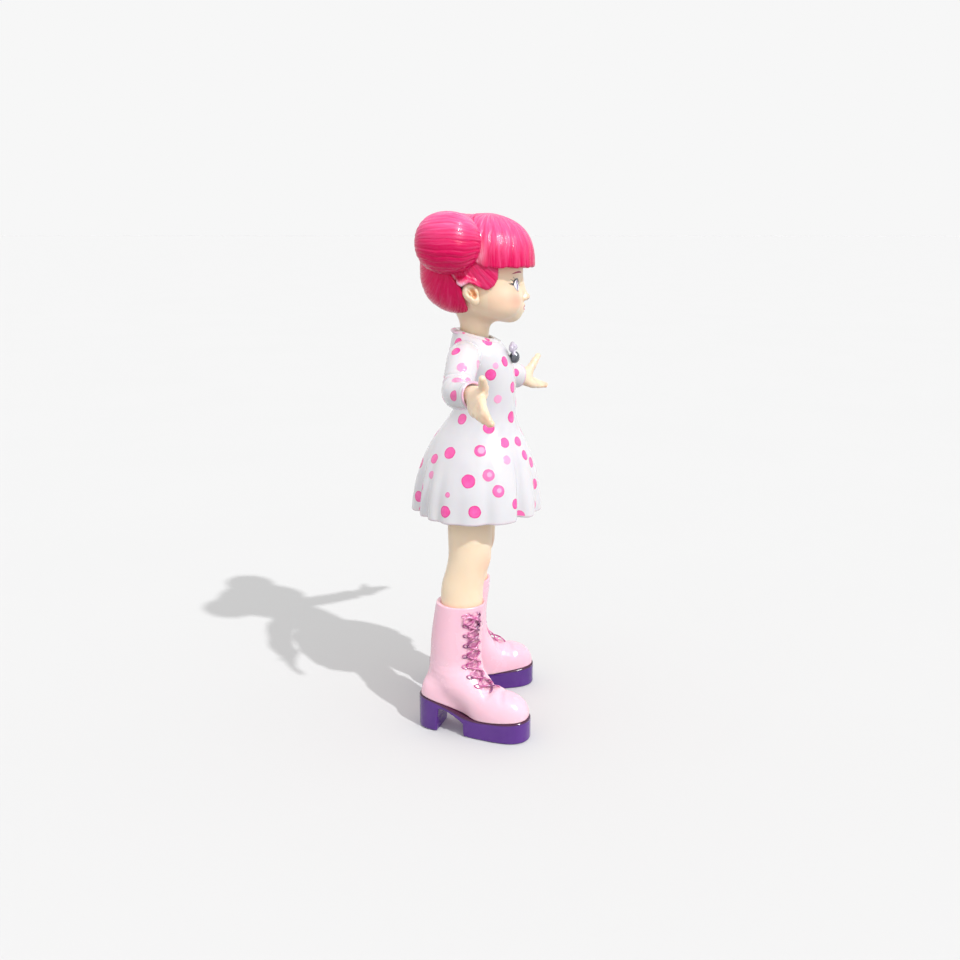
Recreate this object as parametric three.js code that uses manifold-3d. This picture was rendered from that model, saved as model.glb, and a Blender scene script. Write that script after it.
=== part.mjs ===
// A painted vinyl doll figure, about 151 mm tall: a girl with two hair buns, a dotted dress and platform
// boots. It stands on its soles, faces -Y, and its left side is +X. Millimetres, +Z up, origin on the ground
// under the middle of its overall box. The head turns on a mushroom plug in the collar, each arm turns on a
// mushroom plug in the shoulder, and each hand turns on its own peg in the cuff.
import * as THREE from "three";
import { mergeVertices } from "three/addons/utils/BufferGeometryUtils.js";
import Module from "manifold-3d";

const wasm = await Module();
wasm.setup();

// ---- Driving dimensions ----
const GAP = 0.3; // running and glue clearance between neighbouring pieces
const ORIGIN_FORWARD = -0.8; // how far forward of the body axis the middle of the overall box lies

const NECK = { forward: -0.9, radius: 4.9, base: 112.6 };
const NECK_PLUG = { shaft: 2.0, head: 3.1, bottom: 104.6, neckline: 107.4, top: 118 };
const SHOULDER = { x: 9.9, forward: -3.6, z: 111.8, seat: 5.0 };
const SHOULDER_PLUG = { shaft: 1.7, head: 2.6, inner: 5.4, neckline: 7.4, outer: 14 };
const WRIST = { radius: 2.4, peg: 1.3, pegLength: 4.2, recess: 1.4 };

const HEM_Z = 65;
const SKIRT_WALL = 1.3;
const SKIRT_CEILING = 90;
const FOLDS = 8;
const FOLD_DEPTH = 1.5;

const RIM_Z = 39.2;
const LEG_TOP = 79;
const HIP_TOP = 89.7;
const TOE_OUT = THREE.MathUtils.degToRad(14.7);
const HEEL = { x: 12.9, forward: -13.2 };
const FOOT = { back: -4.3, toe: 30.4 };

// ---- Helpers ----

// A point from its place to the left (x), its distance forward and its height.
function at(x, forward, z) {
  return new THREE.Vector3(x, ORIGIN_FORWARD - forward, z);
}

// A closed geometry as a manifold-3d solid, turned so that its faces point out.
function solid(geometry) {
  const bare = geometry.clone();
  bare.deleteAttribute("normal");
  bare.deleteAttribute("uv");
  const merged = mergeVertices(bare, 1e-4);
  const mesh = (index) =>
    new wasm.Mesh({
      numProp: 3,
      vertProperties: new Float32Array(merged.attributes.position.array),
      triVerts: new Uint32Array(index),
    });
  const index = [...merged.index.array];
  const made = new wasm.Manifold(mesh(index));
  return made.volume() > 0 ? made : new wasm.Manifold(mesh(index.reverse()));
}

function join(first, ...others) {
  return others.reduce((whole, next) => whole.add(next), first);
}

function cut(first, ...others) {
  return others.reduce((whole, next) => whole.subtract(next), first);
}

// A solid as a named mesh with its own material.
function piece(name, shape, colour, roughness = 0.35, metalness = 0) {
  const made = shape.getMesh();
  const geometry = new THREE.BufferGeometry();
  geometry.setAttribute("position", new THREE.BufferAttribute(made.vertProperties, 3));
  geometry.setIndex(new THREE.BufferAttribute(made.triVerts, 1));
  geometry.computeVertexNormals();
  const material = new THREE.MeshStandardMaterial({ color: colour, roughness, metalness });
  const mesh = new THREE.Mesh(geometry, material);
  mesh.name = name;
  return mesh;
}

// A solid skin over rings of points, each ring with the same number of points, closed by a fan at both ends.
function loft(rings) {
  const count = rings[0].length;
  const points = rings.flat();
  const index = [];
  for (let r = 0; r < rings.length - 1; r++) {
    for (let i = 0; i < count; i++) {
      const j = (i + 1) % count;
      const [a, b] = [r * count + i, r * count + j];
      index.push(a, b, b + count, a, b + count, a + count);
    }
  }
  for (const [r, flip] of [[0, true], [rings.length - 1, false]]) {
    const centre = new THREE.Vector3();
    rings[r].forEach((p) => centre.addScaledVector(p, 1 / count));
    points.push(centre);
    for (let i = 0; i < count; i++) {
      const [a, b] = [r * count + i, r * count + ((i + 1) % count)];
      index.push(...(flip ? [b, a, points.length - 1] : [a, b, points.length - 1]));
    }
  }
  const geometry = new THREE.BufferGeometry().setFromPoints(points);
  geometry.setIndex(index);
  return solid(geometry);
}

// A level ring: x is its middle, back and front are its reach, half is its half width, power 2 is an ellipse.
function levelRing(z, x, back, front, half, options = {}) {
  const { count = 30, power = 2, wave = () => 1 } = options;
  const ring = [];
  for (let i = 0; i < count; i++) {
    const angle = (i / count) * Math.PI * 2;
    const [s, c] = [Math.sin(angle), Math.cos(angle)];
    const size = (Math.abs(s) ** power + Math.abs(c) ** power) ** (-1 / power);
    const reach = size * wave(angle);
    ring.push(at(x + half * s * reach, (back + front) / 2 + ((front - back) / 2) * c * reach, z));
  }
  return ring;
}

// Level rings from rows of [z, x, back, front, half width].
function levelLoft(rows, options = {}) {
  return loft(rows.map(([z, x, back, front, half]) => levelRing(z, x, back, front, half, options)));
}

// A tube through points of [x, forward, z, radius], its ends square to its path or to the given directions.
function limb(stations, { count = 18, start, end } = {}) {
  const points = stations.map(([x, forward, z]) => at(x, forward, z));
  const last = points.length - 1;
  const rings = points.map((point, i) => {
    let along = points[Math.min(i + 1, last)].clone().sub(points[Math.max(i - 1, 0)]).normalize();
    if (i === 0 && start) along = start;
    if (i === last && end) along = end;
    const side = new THREE.Vector3(0, 0, 1).cross(along).normalize();
    const up = along.clone().cross(side);
    const ring = [];
    for (let k = 0; k < count; k++) {
      const angle = (k / count) * Math.PI * 2;
      const radius = stations[i][3];
      ring.push(
        point
          .clone()
          .addScaledVector(side, Math.cos(angle) * radius)
          .addScaledVector(up, Math.sin(angle) * radius),
      );
    }
    return ring;
  });
  return loft(rings);
}

// An egg with its own reach along x, forward and z. A power above 2 makes it boxier.
function egg(x, forward, z, rx, rf, rz, { power = 2, detail = 20 } = {}) {
  const geometry = new THREE.SphereGeometry(1, detail, Math.round(detail / 2));
  const place = geometry.attributes.position;
  for (let i = 0; i < place.count; i++) {
    const v = new THREE.Vector3().fromBufferAttribute(place, i);
    const size = (Math.abs(v.x) ** power + Math.abs(v.y) ** power + Math.abs(v.z) ** power) ** (-1 / power);
    const centre = at(x, forward, z);
    place.setXYZ(i, centre.x + v.x * rx * size, centre.y + v.z * rf * size, centre.z + v.y * rz * size);
  }
  return solid(geometry);
}

// A round body about an axis: profile rows of [distance along the axis, radius].
function turned(origin, axis, profile, segments = 20) {
  const outline = [[profile[0][0], 0], ...profile, [profile[profile.length - 1][0], 0]];
  const geometry = new THREE.LatheGeometry(outline.map(([s, r]) => new THREE.Vector2(r, s)), segments);
  const up = new THREE.Vector3(0, 1, 0);
  const turn = new THREE.Quaternion().setFromUnitVectors(up, axis.clone().normalize());
  geometry.applyQuaternion(turn).translate(origin.x, origin.y, origin.z);
  return solid(geometry);
}

// A block between two corners of [x, forward, z].
function block(low, high) {
  const [a, b] = [at(...low), at(...high)];
  const size = b.clone().sub(a);
  const geometry = new THREE.BoxGeometry(Math.abs(size.x), Math.abs(size.y), Math.abs(size.z));
  geometry.translate((a.x + b.x) / 2, (a.y + b.y) / 2, (a.z + b.z) / 2);
  return solid(geometry);
}

// ---- Head ----

const SKULL = { forward: 0.2, z: 135.5 };
const EAR = { x: 11.9, forward: -1.7, z: 129.4, rx: 1.5, rf: 2.1, rz: 3.1 };
const CROWN = { forward: -0.65, z: 137, rx: 14, rf: 16.25, rz: 14 };
const BUN = { x: 14.6, forward: -7.7, z: 143.1, rx: 8.2, rf: 9, rz: 8.3 };
const BANGS_EDGE = 136.6;
const PARTING = -1.2; // the front and back hair shells meet this far forward

// The head's outside from the neck to the crown, grown outwards by a margin: [z, x, back, front, half width].
function headForm(margin = 0) {
  const rows = [
    [119.5, 0, -5.7, 4.2, 5.0],
    [120.9, 0, -6.1, 6.6, 5.8],
    [121.6, 0, -6.9, 10.4, 7.2],
    [123, 0, -8.2, 12.1, 9.0],
    [125.6, 0, -9.6, 12.8, 10.5],
    [128.5, 0, -10.8, 12.9, 11.4],
    [132, 0, -11.8, 12.5, 11.9],
    [136, 0, -12.2, 12.4, 12.0],
    [140, 0, -11.8, 11.9, 11.4],
    [143.5, 0, -10.2, 10.3, 9.9],
    [146.2, 0, -7.6, 7.8, 7.5],
    [147.8, 0, -4.4, 4.6, 4.4],
  ];
  return levelLoft(
    rows.map(([z, x, back, front, half], i) => {
      const rise = i === rows.length - 1 ? margin : i === 0 ? -margin : 0;
      return [z + rise, x, back - margin, front + margin, half + margin];
    }),
    { power: 2.15 },
  );
}

const earForm = (side, margin = 0) =>
  egg(side * EAR.x, EAR.forward, EAR.z, EAR.rx + margin, EAR.rf + margin, EAR.rz + margin, { detail: 12 });

function faceShell() {
  const neck = levelLoft([
    [NECK.base, 0, NECK.forward - NECK.radius + 0.3, NECK.forward + NECK.radius - 0.3, NECK.radius - 0.3],
    [119.8, 0, -5.7, 4.3, 5.1],
  ]);
  const ears = [-1, 1].map((side) => earForm(side));
  const nose = egg(0, 12.8, 127.6, 1.3, 1.6, 1.2, { detail: 12 });
  const hollow = egg(0, SKULL.forward, SKULL.z, 10.1, 10.3, 11.6);
  const crownOpening = turned(at(0, SKULL.forward, 142.5), new THREE.Vector3(0, 0, 1), [[0, 8], [8, 8]]);
  const plugBore = turned(at(0, NECK.forward, NECK.base - 1), new THREE.Vector3(0, 0, 1), [
    [0, NECK_PLUG.shaft + 0.1],
    [14, NECK_PLUG.shaft + 0.1],
  ]);
  return cut(join(headForm(), neck, ...ears, nose), hollow, crownOpening, plugBore);
}

function neckPlug() {
  const { shaft, head, bottom, neckline, top } = NECK_PLUG;
  return turned(at(0, NECK.forward, 0), new THREE.Vector3(0, 0, 1), [
    [bottom, head - 1.1],
    [bottom + 1.2, head],
    [neckline - 0.4, head],
    [neckline, shaft],
    [top, shaft],
  ]);
}

const crownForm = (margin = 0) =>
  egg(0, CROWN.forward, CROWN.z, CROWN.rx + margin, CROWN.rf + margin, CROWN.rz + margin, {
    power: 2.5,
    detail: 28,
  });

// The rounded mass of hair over the nape, from crown height down to the collar.
const napeForm = (margin = 0) =>
  egg(0, -5.5, 134.2, 13.8 + margin, 11.4 + margin, 11 + margin, { power: 2.2, detail: 24 });

function hairFront() {
  const keep = block([-20, PARTING + GAP / 2, BANGS_EDGE], [20, 20, 155]);
  return cut(crownForm().intersect(keep), headForm(GAP));
}

function hairBack() {
  const behind = block([-20, -20, 120], [20, PARTING - GAP / 2, 155]);
  const neckRoom = turned(at(0, NECK.forward, 120), new THREE.Vector3(0, 0, 1), [[0, 6], [8, 6]]);
  const earRoom = [-1, 1].map((side) => egg(side * 13, 2.4, 126.5, 7, 6.6, 7.6, { detail: 20 }));
  const pegHoles = turned(at(-20, BUN.forward, BUN.z), new THREE.Vector3(1, 0, 0), [[0, 1.8], [40, 1.8]]);
  const mass = join(crownForm(), napeForm()).intersect(behind);
  const ears = [-1, 1].map((side) => earForm(side, GAP));
  return cut(mass, headForm(GAP), neckRoom, ...earRoom, ...ears, pegHoles);
}

function sideLock(side) {
  const lock = egg(side * 11, 1.2, 133.6, 2.9, 5.6, 3.9, { power: 2.3, detail: 18 });
  const below = block([-20, -20, 120], [20, 20, BANGS_EDGE - GAP]);
  const ahead = block([-20, PARTING + GAP / 2, 120], [20, 20, 155]);
  return cut(lock.intersect(below).intersect(ahead), headForm(GAP), earForm(side, GAP));
}

function bun(side) {
  const ball = egg(side * BUN.x, BUN.forward, BUN.z, BUN.rx, BUN.rf, BUN.rz, { power: 2.15 });
  const outwards = new THREE.Vector3(side, 0, 0);
  const peg = turned(at(side * 11.9, BUN.forward, BUN.z), outwards, [[0, 1.4], [4, 1.4]]);
  return join(cut(ball, crownForm(GAP), napeForm(GAP)), peg);
}

// ---- Dress ----

// The dress from hem to neckline: [z, back, front, half width, share of the fold depth].
const DRESS = [
  [HEM_Z, -21.2, 18.7, 20.3, 1],
  [69, -20.6, 18.2, 19.6, 0.95],
  [73.5, -19.6, 17.3, 18.6, 0.85],
  [78, -18.2, 16.3, 17.3, 0.7],
  [82.5, -16.3, 15, 15.6, 0.55],
  [86.5, -14.1, 13.3, 13.6, 0.35],
  [90, -11.6, 11.7, 11.8, 0.2],
  [93.5, -8.9, 10.8, 10.4, 0.05],
  [97.5, -7, 10.6, 9.6, 0],
  [102, -7.1, 10.5, 9.9, 0],
  [106, -7.9, 10.1, 10.5, 0],
  [110, -8.7, 9.1, 10.9, 0],
  [113, -8.8, 7.8, 10.5, 0],
  [115.5, -8.4, 5.9, 9, 0],
  [117.6, -7.7, 4.6, 7.4, 0],
  [119.2, -7.1, 4.2, 6.5, 0],
];

// The folds' outline round the skirt: broad lobes with narrow valleys between them.
function foldWave(share, size) {
  return (angle) => {
    const lobe = Math.abs(Math.cos((FOLDS / 2) * angle + 0.6 * Math.sin(angle)));
    return 1 - (share * FOLD_DEPTH * (1 - lobe)) / size;
  };
}

function dressForm(rows, inset = 0) {
  return loft(
    rows.map(([z, back, front, half, share]) =>
      levelRing(z, 0, back + inset, front - inset, half - inset, { count: 48, wave: foldWave(share, half) }),
    ),
  );
}

// A slanting cutter that takes away all above the neckline, which drops towards the front.
function aboveNeckline(lift) {
  const rows = [];
  for (const z of [0, 12]) {
    rows.push([at(-15, -14, 120.3 + lift + z), at(15, -14, 120.3 + lift + z)]);
    rows[rows.length - 1].push(at(15, 14, 112.8 + lift + z), at(-15, 14, 112.8 + lift + z));
  }
  return loft(rows);
}

function dressShell() {
  const below = DRESS.filter(([z]) => z < SKIRT_CEILING);
  const hemRow = below[0];
  const ceiling = [SKIRT_CEILING, -10.4, 10.4, 10.6, 0.2];
  const skirtHollow = dressForm([[HEM_Z - 1, ...hemRow.slice(1)], ...below, ceiling], SKIRT_WALL);
  const up = new THREE.Vector3(0, 0, 1);
  const { shaft, head, bottom, neckline } = NECK_PLUG;
  const neckSocket = turned(at(0, NECK.forward, 0), up, [
    [bottom - 2, head - 0.8],
    [bottom, head + GAP],
    [neckline + GAP, head + GAP],
    [neckline + GAP + 0.5, shaft + GAP],
    [NECK.base - GAP, shaft + GAP],
    [NECK.base - GAP + 0.01, NECK.radius + GAP],
    [122, NECK.radius + 0.6],
  ]);
  const shoulderSockets = [-1, 1].map((side) => {
    const p = SHOULDER_PLUG;
    return turned(at(0, SHOULDER.forward, SHOULDER.z), new THREE.Vector3(side, 0, 0), [
      [p.inner - GAP, p.head + GAP],
      [p.neckline + GAP, p.head + GAP],
      [p.neckline + GAP + 0.4, p.shaft + GAP],
      [SHOULDER.x - GAP, p.shaft + GAP],
      [SHOULDER.x - GAP + 0.01, SHOULDER.seat + GAP],
      [14, SHOULDER.seat + GAP],
    ]);
  });
  return cut(dressForm(DRESS), aboveNeckline(0), skirtHollow, neckSocket, ...shoulderSockets);
}

function collar() {
  const [inner, outer, thick] = [5.6, 7.5, 1.0];
  const section = [
    [0, inner],
    [0, outer],
    [0.5, outer + 0.25],
    [thick, outer - 0.5],
    [thick, inner],
    [0, inner],
  ];
  const geometry = new THREE.LatheGeometry(section.map(([s, r]) => new THREE.Vector2(r, s)), 30);
  geometry.rotateX(Math.PI / 2 + Math.atan(7.5 / 28));
  const middle = at(0, NECK.forward - 0.1, 116.99);
  geometry.translate(middle.x, middle.y, middle.z);
  return solid(geometry);
}

function chestBow() {
  const loops = [-1, 1].map((side) => egg(side * 2.0, 9.4, 113.5, 1.7, 0.9, 1.25, { detail: 12 }));
  const knot = egg(0, 9.7, 113.5, 0.9, 1.2, 1.0, { detail: 12 });
  return cut(join(knot, ...loops), dressForm(DRESS, -GAP));
}

function chestCharm() {
  const shape = turned(at(0, 10.2, 110.8), at(0, 1, 0.1).sub(at(0, 0, 0)), [
    [-1.6, 1.7],
    [-0.4, 1.7],
    [0.6, 1.4],
    [1.3, 0.8],
    [1.5, 0.2],
  ]);
  const bowRoom = egg(0, 9.7, 113.5, 0.9 + GAP, 1.2 + GAP, 1.0 + GAP, { detail: 12 });
  const loopRoom = [-1, 1].map((side) =>
    egg(side * 2.0, 9.4, 113.5, 1.7 + GAP, 0.9 + GAP, 1.25 + GAP, { detail: 12 }),
  );
  return cut(shape, dressForm(DRESS, -GAP), bowRoom, ...loopRoom);
}

// ---- Hips, legs and boots: made for one side, which is -1 on the right and 1 on the left ----

const LEG = [
  [LEG_TOP, 7.2, -8.5, 4.1, 5.5],
  [70, 8.1, -8.8, 4.2, 5.7],
  [61, 9.0, -8.85, 4.1, 5.8],
  [57, 9.35, -8.7, 4.1, 5.75],
  [52.5, 9.75, -8.6, 3.6, 5.65],
  [48.5, 10.1, -9.5, 2.6, 5.65],
  [44.5, 10.45, -10.6, 1.8, 5.75],
  [RIM_Z - 2, 11, -10.9, 1.5, 5.9],
];
const LEG_PEG = { radius: 3, height: 5, ankleTop: RIM_Z - 2, ankleBottom: 22, ankle: 4.3 };
const ANKLE = { x: 11.8, forward: -6.2 };

function legPegAt(side, z) {
  return at(side * 6.9, -2.2, z);
}

function hipBlock() {
  const form = levelLoft([
    [LEG_TOP + GAP, 0, -8.6, 4.6, 11.8],
    [82, 0, -9.3, 5.6, 11.2],
    [86, 0, -9.4, 7.4, 9.8],
    [HIP_TOP, 0, -7.6, 7.8, 8.6],
  ]);
  const sockets = [-1, 1].map((side) =>
    turned(legPegAt(side, LEG_TOP - 2), new THREE.Vector3(0, 0, 1), [
      [0, LEG_PEG.radius + 0.15],
      [LEG_PEG.height + 2 + GAP, LEG_PEG.radius + 0.15],
    ]),
  );
  return cut(form, ...sockets);
}

function leg(side) {
  const rows = LEG.map(([z, x, back, front, half]) => [z, side * x, back, front, half]);
  const form = levelLoft(rows, { count: 24 });
  const hipPeg = turned(legPegAt(side, LEG_TOP - 1), new THREE.Vector3(0, 0, 1), [
    [0, LEG_PEG.radius],
    [LEG_PEG.height + 1, LEG_PEG.radius],
  ]);
  const anklePeg = limb([
    [side * 10.9, -4.7, LEG_PEG.ankleTop + 1, LEG_PEG.ankle],
    [side * 11, -4.7, LEG_PEG.ankleTop - 2, LEG_PEG.ankle],
    [side * ANKLE.x, ANKLE.forward, LEG_PEG.ankleBottom, LEG_PEG.ankle - 0.6],
  ]);
  return join(form, hipPeg, anklePeg);
}

// A point of the boot: its distance along the foot from the middle of the heel, outwards across it, and up.
function footPoint(side, along, outward, z) {
  const [s, c] = [Math.sin(TOE_OUT), Math.cos(TOE_OUT)];
  const x = HEEL.x + along * s + outward * c;
  return at(side * x, HEEL.forward + along * c - outward * s, z);
}

// Half the sole's width along the foot: a round heel, a waist and a broad round toe.
function soleHalfWidth(along) {
  const t = (along - FOOT.back) / (FOOT.toe - FOOT.back);
  const ends = Math.min(1, Math.sqrt(Math.max(0, 1 - ((t - 0.5) / 0.5) ** 6)));
  const ball = 1.25 * Math.sin(Math.PI * Math.max(0, (t - 0.35) / 0.9));
  const waist = 0.35 * Math.exp(-(((t - 0.32) / 0.12) ** 2));
  return (4.9 + ball - waist) * ends;
}

// The foot's plan as a prism between two heights, grown outwards by a margin.
function footPrism(side, low, high, margin = 0) {
  const steps = 16;
  const outline = [];
  for (let i = 0; i <= steps; i++) {
    const turn = (i / steps) * Math.PI;
    const along = (FOOT.back + FOOT.toe) / 2 - Math.cos(turn) * ((FOOT.toe - FOOT.back) / 2 + margin);
    outline.push([along, soleHalfWidth(along) + margin]);
  }
  const back = outline.slice(1, -1).reverse().map(([along, half]) => [along, -half]);
  const ring = [...outline, ...back];
  return loft([low, high].map((z) => ring.map(([along, out]) => footPoint(side, along, out, z))));
}

// A side view of the foot, rows of [along, z], carried right across it.
function footProfile(side, rows) {
  const shape = new THREE.Shape(rows.map(([along, z]) => new THREE.Vector2(along, z)));
  const geometry = new THREE.ExtrudeGeometry(shape, { depth: 24, bevelEnabled: false });
  const place = geometry.attributes.position;
  for (let i = 0; i < place.count; i++) {
    const p = footPoint(side, place.getX(i), place.getZ(i) - 12, place.getY(i));
    place.setXYZ(i, p.x, p.y, p.z);
  }
  return solid(geometry);
}

const SOLE_TOP = [[-6, 10.5], [-1, 10.2], [3, 9.2], [7, 7.6], [10.5, 6.4], [14, 5.9], [20, 6.1], [32, 6.9]];
const SOLE_UNDERSIDE = [
  [32, 0],
  [11.4, 0],
  [11, 3.9],
  [9.9, 4.7],
  [7.4, 6],
  [4.8, 7.3],
  [3.2, 7.4],
  [2.75, 4.6],
  [2.6, 0],
  [-6, 0],
];

function sole(side) {
  return footPrism(side, -1, 12).intersect(footProfile(side, [...SOLE_TOP, ...SOLE_UNDERSIDE]));
}

// The boot's shaft: [z, x, back, front, half width].
const SHAFT = [
  [RIM_Z, 10.9, -12.2, 2.3, 6.7],
  [36, 11.15, -12.8, 2.2, 6.8],
  [32, 11.4, -13.4, 1.7, 6.8],
  [27, 11.7, -13.9, 1.2, 6.7],
  [22.5, 12, -14.1, 1.2, 6.4],
  [18.5, 12.35, -14.6, 1.9, 6.1],
  [14.5, 12.7, -15.9, 3.4, 5.8],
  [8, 13, -17.2, 4, 5.2],
];

// The boot's foot: [along, half width, top height] of arched sections.
const VAMP = [
  [-3.9, 2.6, 12],
  [-2, 4.1, 16],
  [4, 4.6, 20],
  [10, 4.9, 20.5],
  [15, 5.4, 17.6],
  [19, 5.8, 14.9],
  [23, 5.9, 13.6],
  [26.5, 5.3, 12.4],
  [29, 3.7, 10.4],
  [30, 1.6, 8],
];

function vamp(side) {
  const sections = VAMP.map(([along, half, top]) => {
    const ring = [];
    const count = 20;
    for (let i = 0; i < count; i++) {
      const angle = (i / count) * Math.PI * 2;
      const [s, c] = [Math.sin(angle), Math.cos(angle)];
      const size = (Math.abs(s) ** 2.6 + Math.abs(c) ** 2.6) ** (-1 / 2.6);
      ring.push(footPoint(side, along, half * c * size, top / 2 + (top / 2) * s * size));
    }
    return ring;
  });
  return loft(sections);
}

function boot(side) {
  const rows = SHAFT.map(([z, x, back, front, half]) => [z, side * x, back, front, half]);
  const shaft = levelLoft(rows, { count: 26, power: 2.1 });
  const raisedTop = SOLE_TOP.map(([along, z]) => [along, z + 0.15]);
  const under = footProfile(side, [...raisedTop, [32, -5], [-6, -5]]);
  const legSocket = levelLoft([
    [RIM_Z - 2 - GAP, side * 11, -11.2, 1.8, 6.2],
    [RIM_Z + 2, side * 10.8, -11.0, 1.9, 6.15],
  ]);
  const ankleSocket = limb([
    [side * 10.9, -4.7, LEG_PEG.ankleTop + 1, LEG_PEG.ankle + GAP],
    [side * 11, -4.7, LEG_PEG.ankleTop - 2, LEG_PEG.ankle + GAP],
    [side * (ANKLE.x + 0.03), ANKLE.forward, LEG_PEG.ankleBottom - 0.5, LEG_PEG.ankle - 0.6 + GAP],
  ]);
  return cut(join(shaft, vamp(side)), under, legSocket, ankleSocket);
}

// ---- Arms: the places of shoulder, elbow and cuff, and the way the fingers and thumb point ----

// turn: degrees that the palm is turned about the fingers, away from the thumb's plane.
// bend: degrees between the hand's middle line and the fingers' way, at each length in BEND_AT.
// thumbArc: how far the thumb's middle stands towards the palm.
const BEND_AT = [0, 7, 11, 17];
const ARMS = {
  right: {
    side: -1,
    sleeve: [
      [-SHOULDER.x, -3.6, 111.8, 4.6],
      [-12, -3.7, 111.4, 4.75],
      [-14.8, -4, 109.6, 4.55],
      [-18, -4.5, 106.6, 4.3],
      [-21.3, -4.8, 104.3, 4.25],
      [-24.6, -4.2, 103.5, 4.0],
      [-27.4, -2.4, 103.6, 3.75],
      [-30.6, 0.3, 104.2, 3.7],
    ],
    fingers: [-0.87, 0.32, -0.37],
    thumb: [-0.33, -0.05, 0.93],
    turn: -28,
    bend: [-14, -8, 6, 38],
    thumbArc: 1.6,
  },
  left: {
    side: 1,
    sleeve: [
      [SHOULDER.x, -3.6, 111.8, 4.6],
      [12, -3.4, 111.4, 4.75],
      [15, -2.7, 109.6, 4.5],
      [18.3, -1.3, 106.9, 4.2],
      [21.6, 0.7, 104.6, 4.1],
      [24.9, 3.3, 103, 3.9],
      [28.2, 6.3, 101.8, 3.75],
      [31.9, 9.9, 100.8, 3.7],
    ],
    fingers: [0.79, 0.56, -0.4],
    thumb: [0.29, 0.18, 0.94],
    turn: 56,
    bend: [-3, 2, 8, 16],
    thumbArc: 0.9,
  },
};

// The cuff's end and the way out of it.
function cuff(arm) {
  const [before, end] = arm.sleeve.slice(-2).map(([x, forward, z]) => at(x, forward, z));
  return { end, out: end.clone().sub(before).normalize() };
}

function sleeve(arm) {
  const { end, out } = cuff(arm);
  const lateral = new THREE.Vector3(arm.side, 0, 0);
  const form = limb(arm.sleeve, { start: lateral, end: out });
  const { radius, peg, pegLength, recess } = WRIST;
  const socket = turned(end, out, [
    [-recess - pegLength - GAP, peg + 0.1],
    [-recess - 0.01, peg + 0.1],
    [-recess, radius + 0.4],
    [2, radius + 0.4],
  ]);
  const p = SHOULDER_PLUG;
  const plugBore = turned(at(0, SHOULDER.forward, SHOULDER.z), lateral, [
    [SHOULDER.x - 1, p.shaft + 0.1],
    [p.outer + GAP, p.shaft + 0.1],
  ]);
  return cut(form, socket, plugBore);
}

function shoulderPlug(arm) {
  const p = SHOULDER_PLUG;
  return turned(at(0, SHOULDER.forward, SHOULDER.z), new THREE.Vector3(arm.side, 0, 0), [
    [p.inner, p.head - 0.8],
    [p.inner + 0.7, p.head],
    [p.neckline - 0.4, p.head],
    [p.neckline, p.shaft],
    [p.outer, p.shaft],
  ]);
}

const FINGER_REACH = [14.2, 15.8, 15.2, 13.2];

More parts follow.
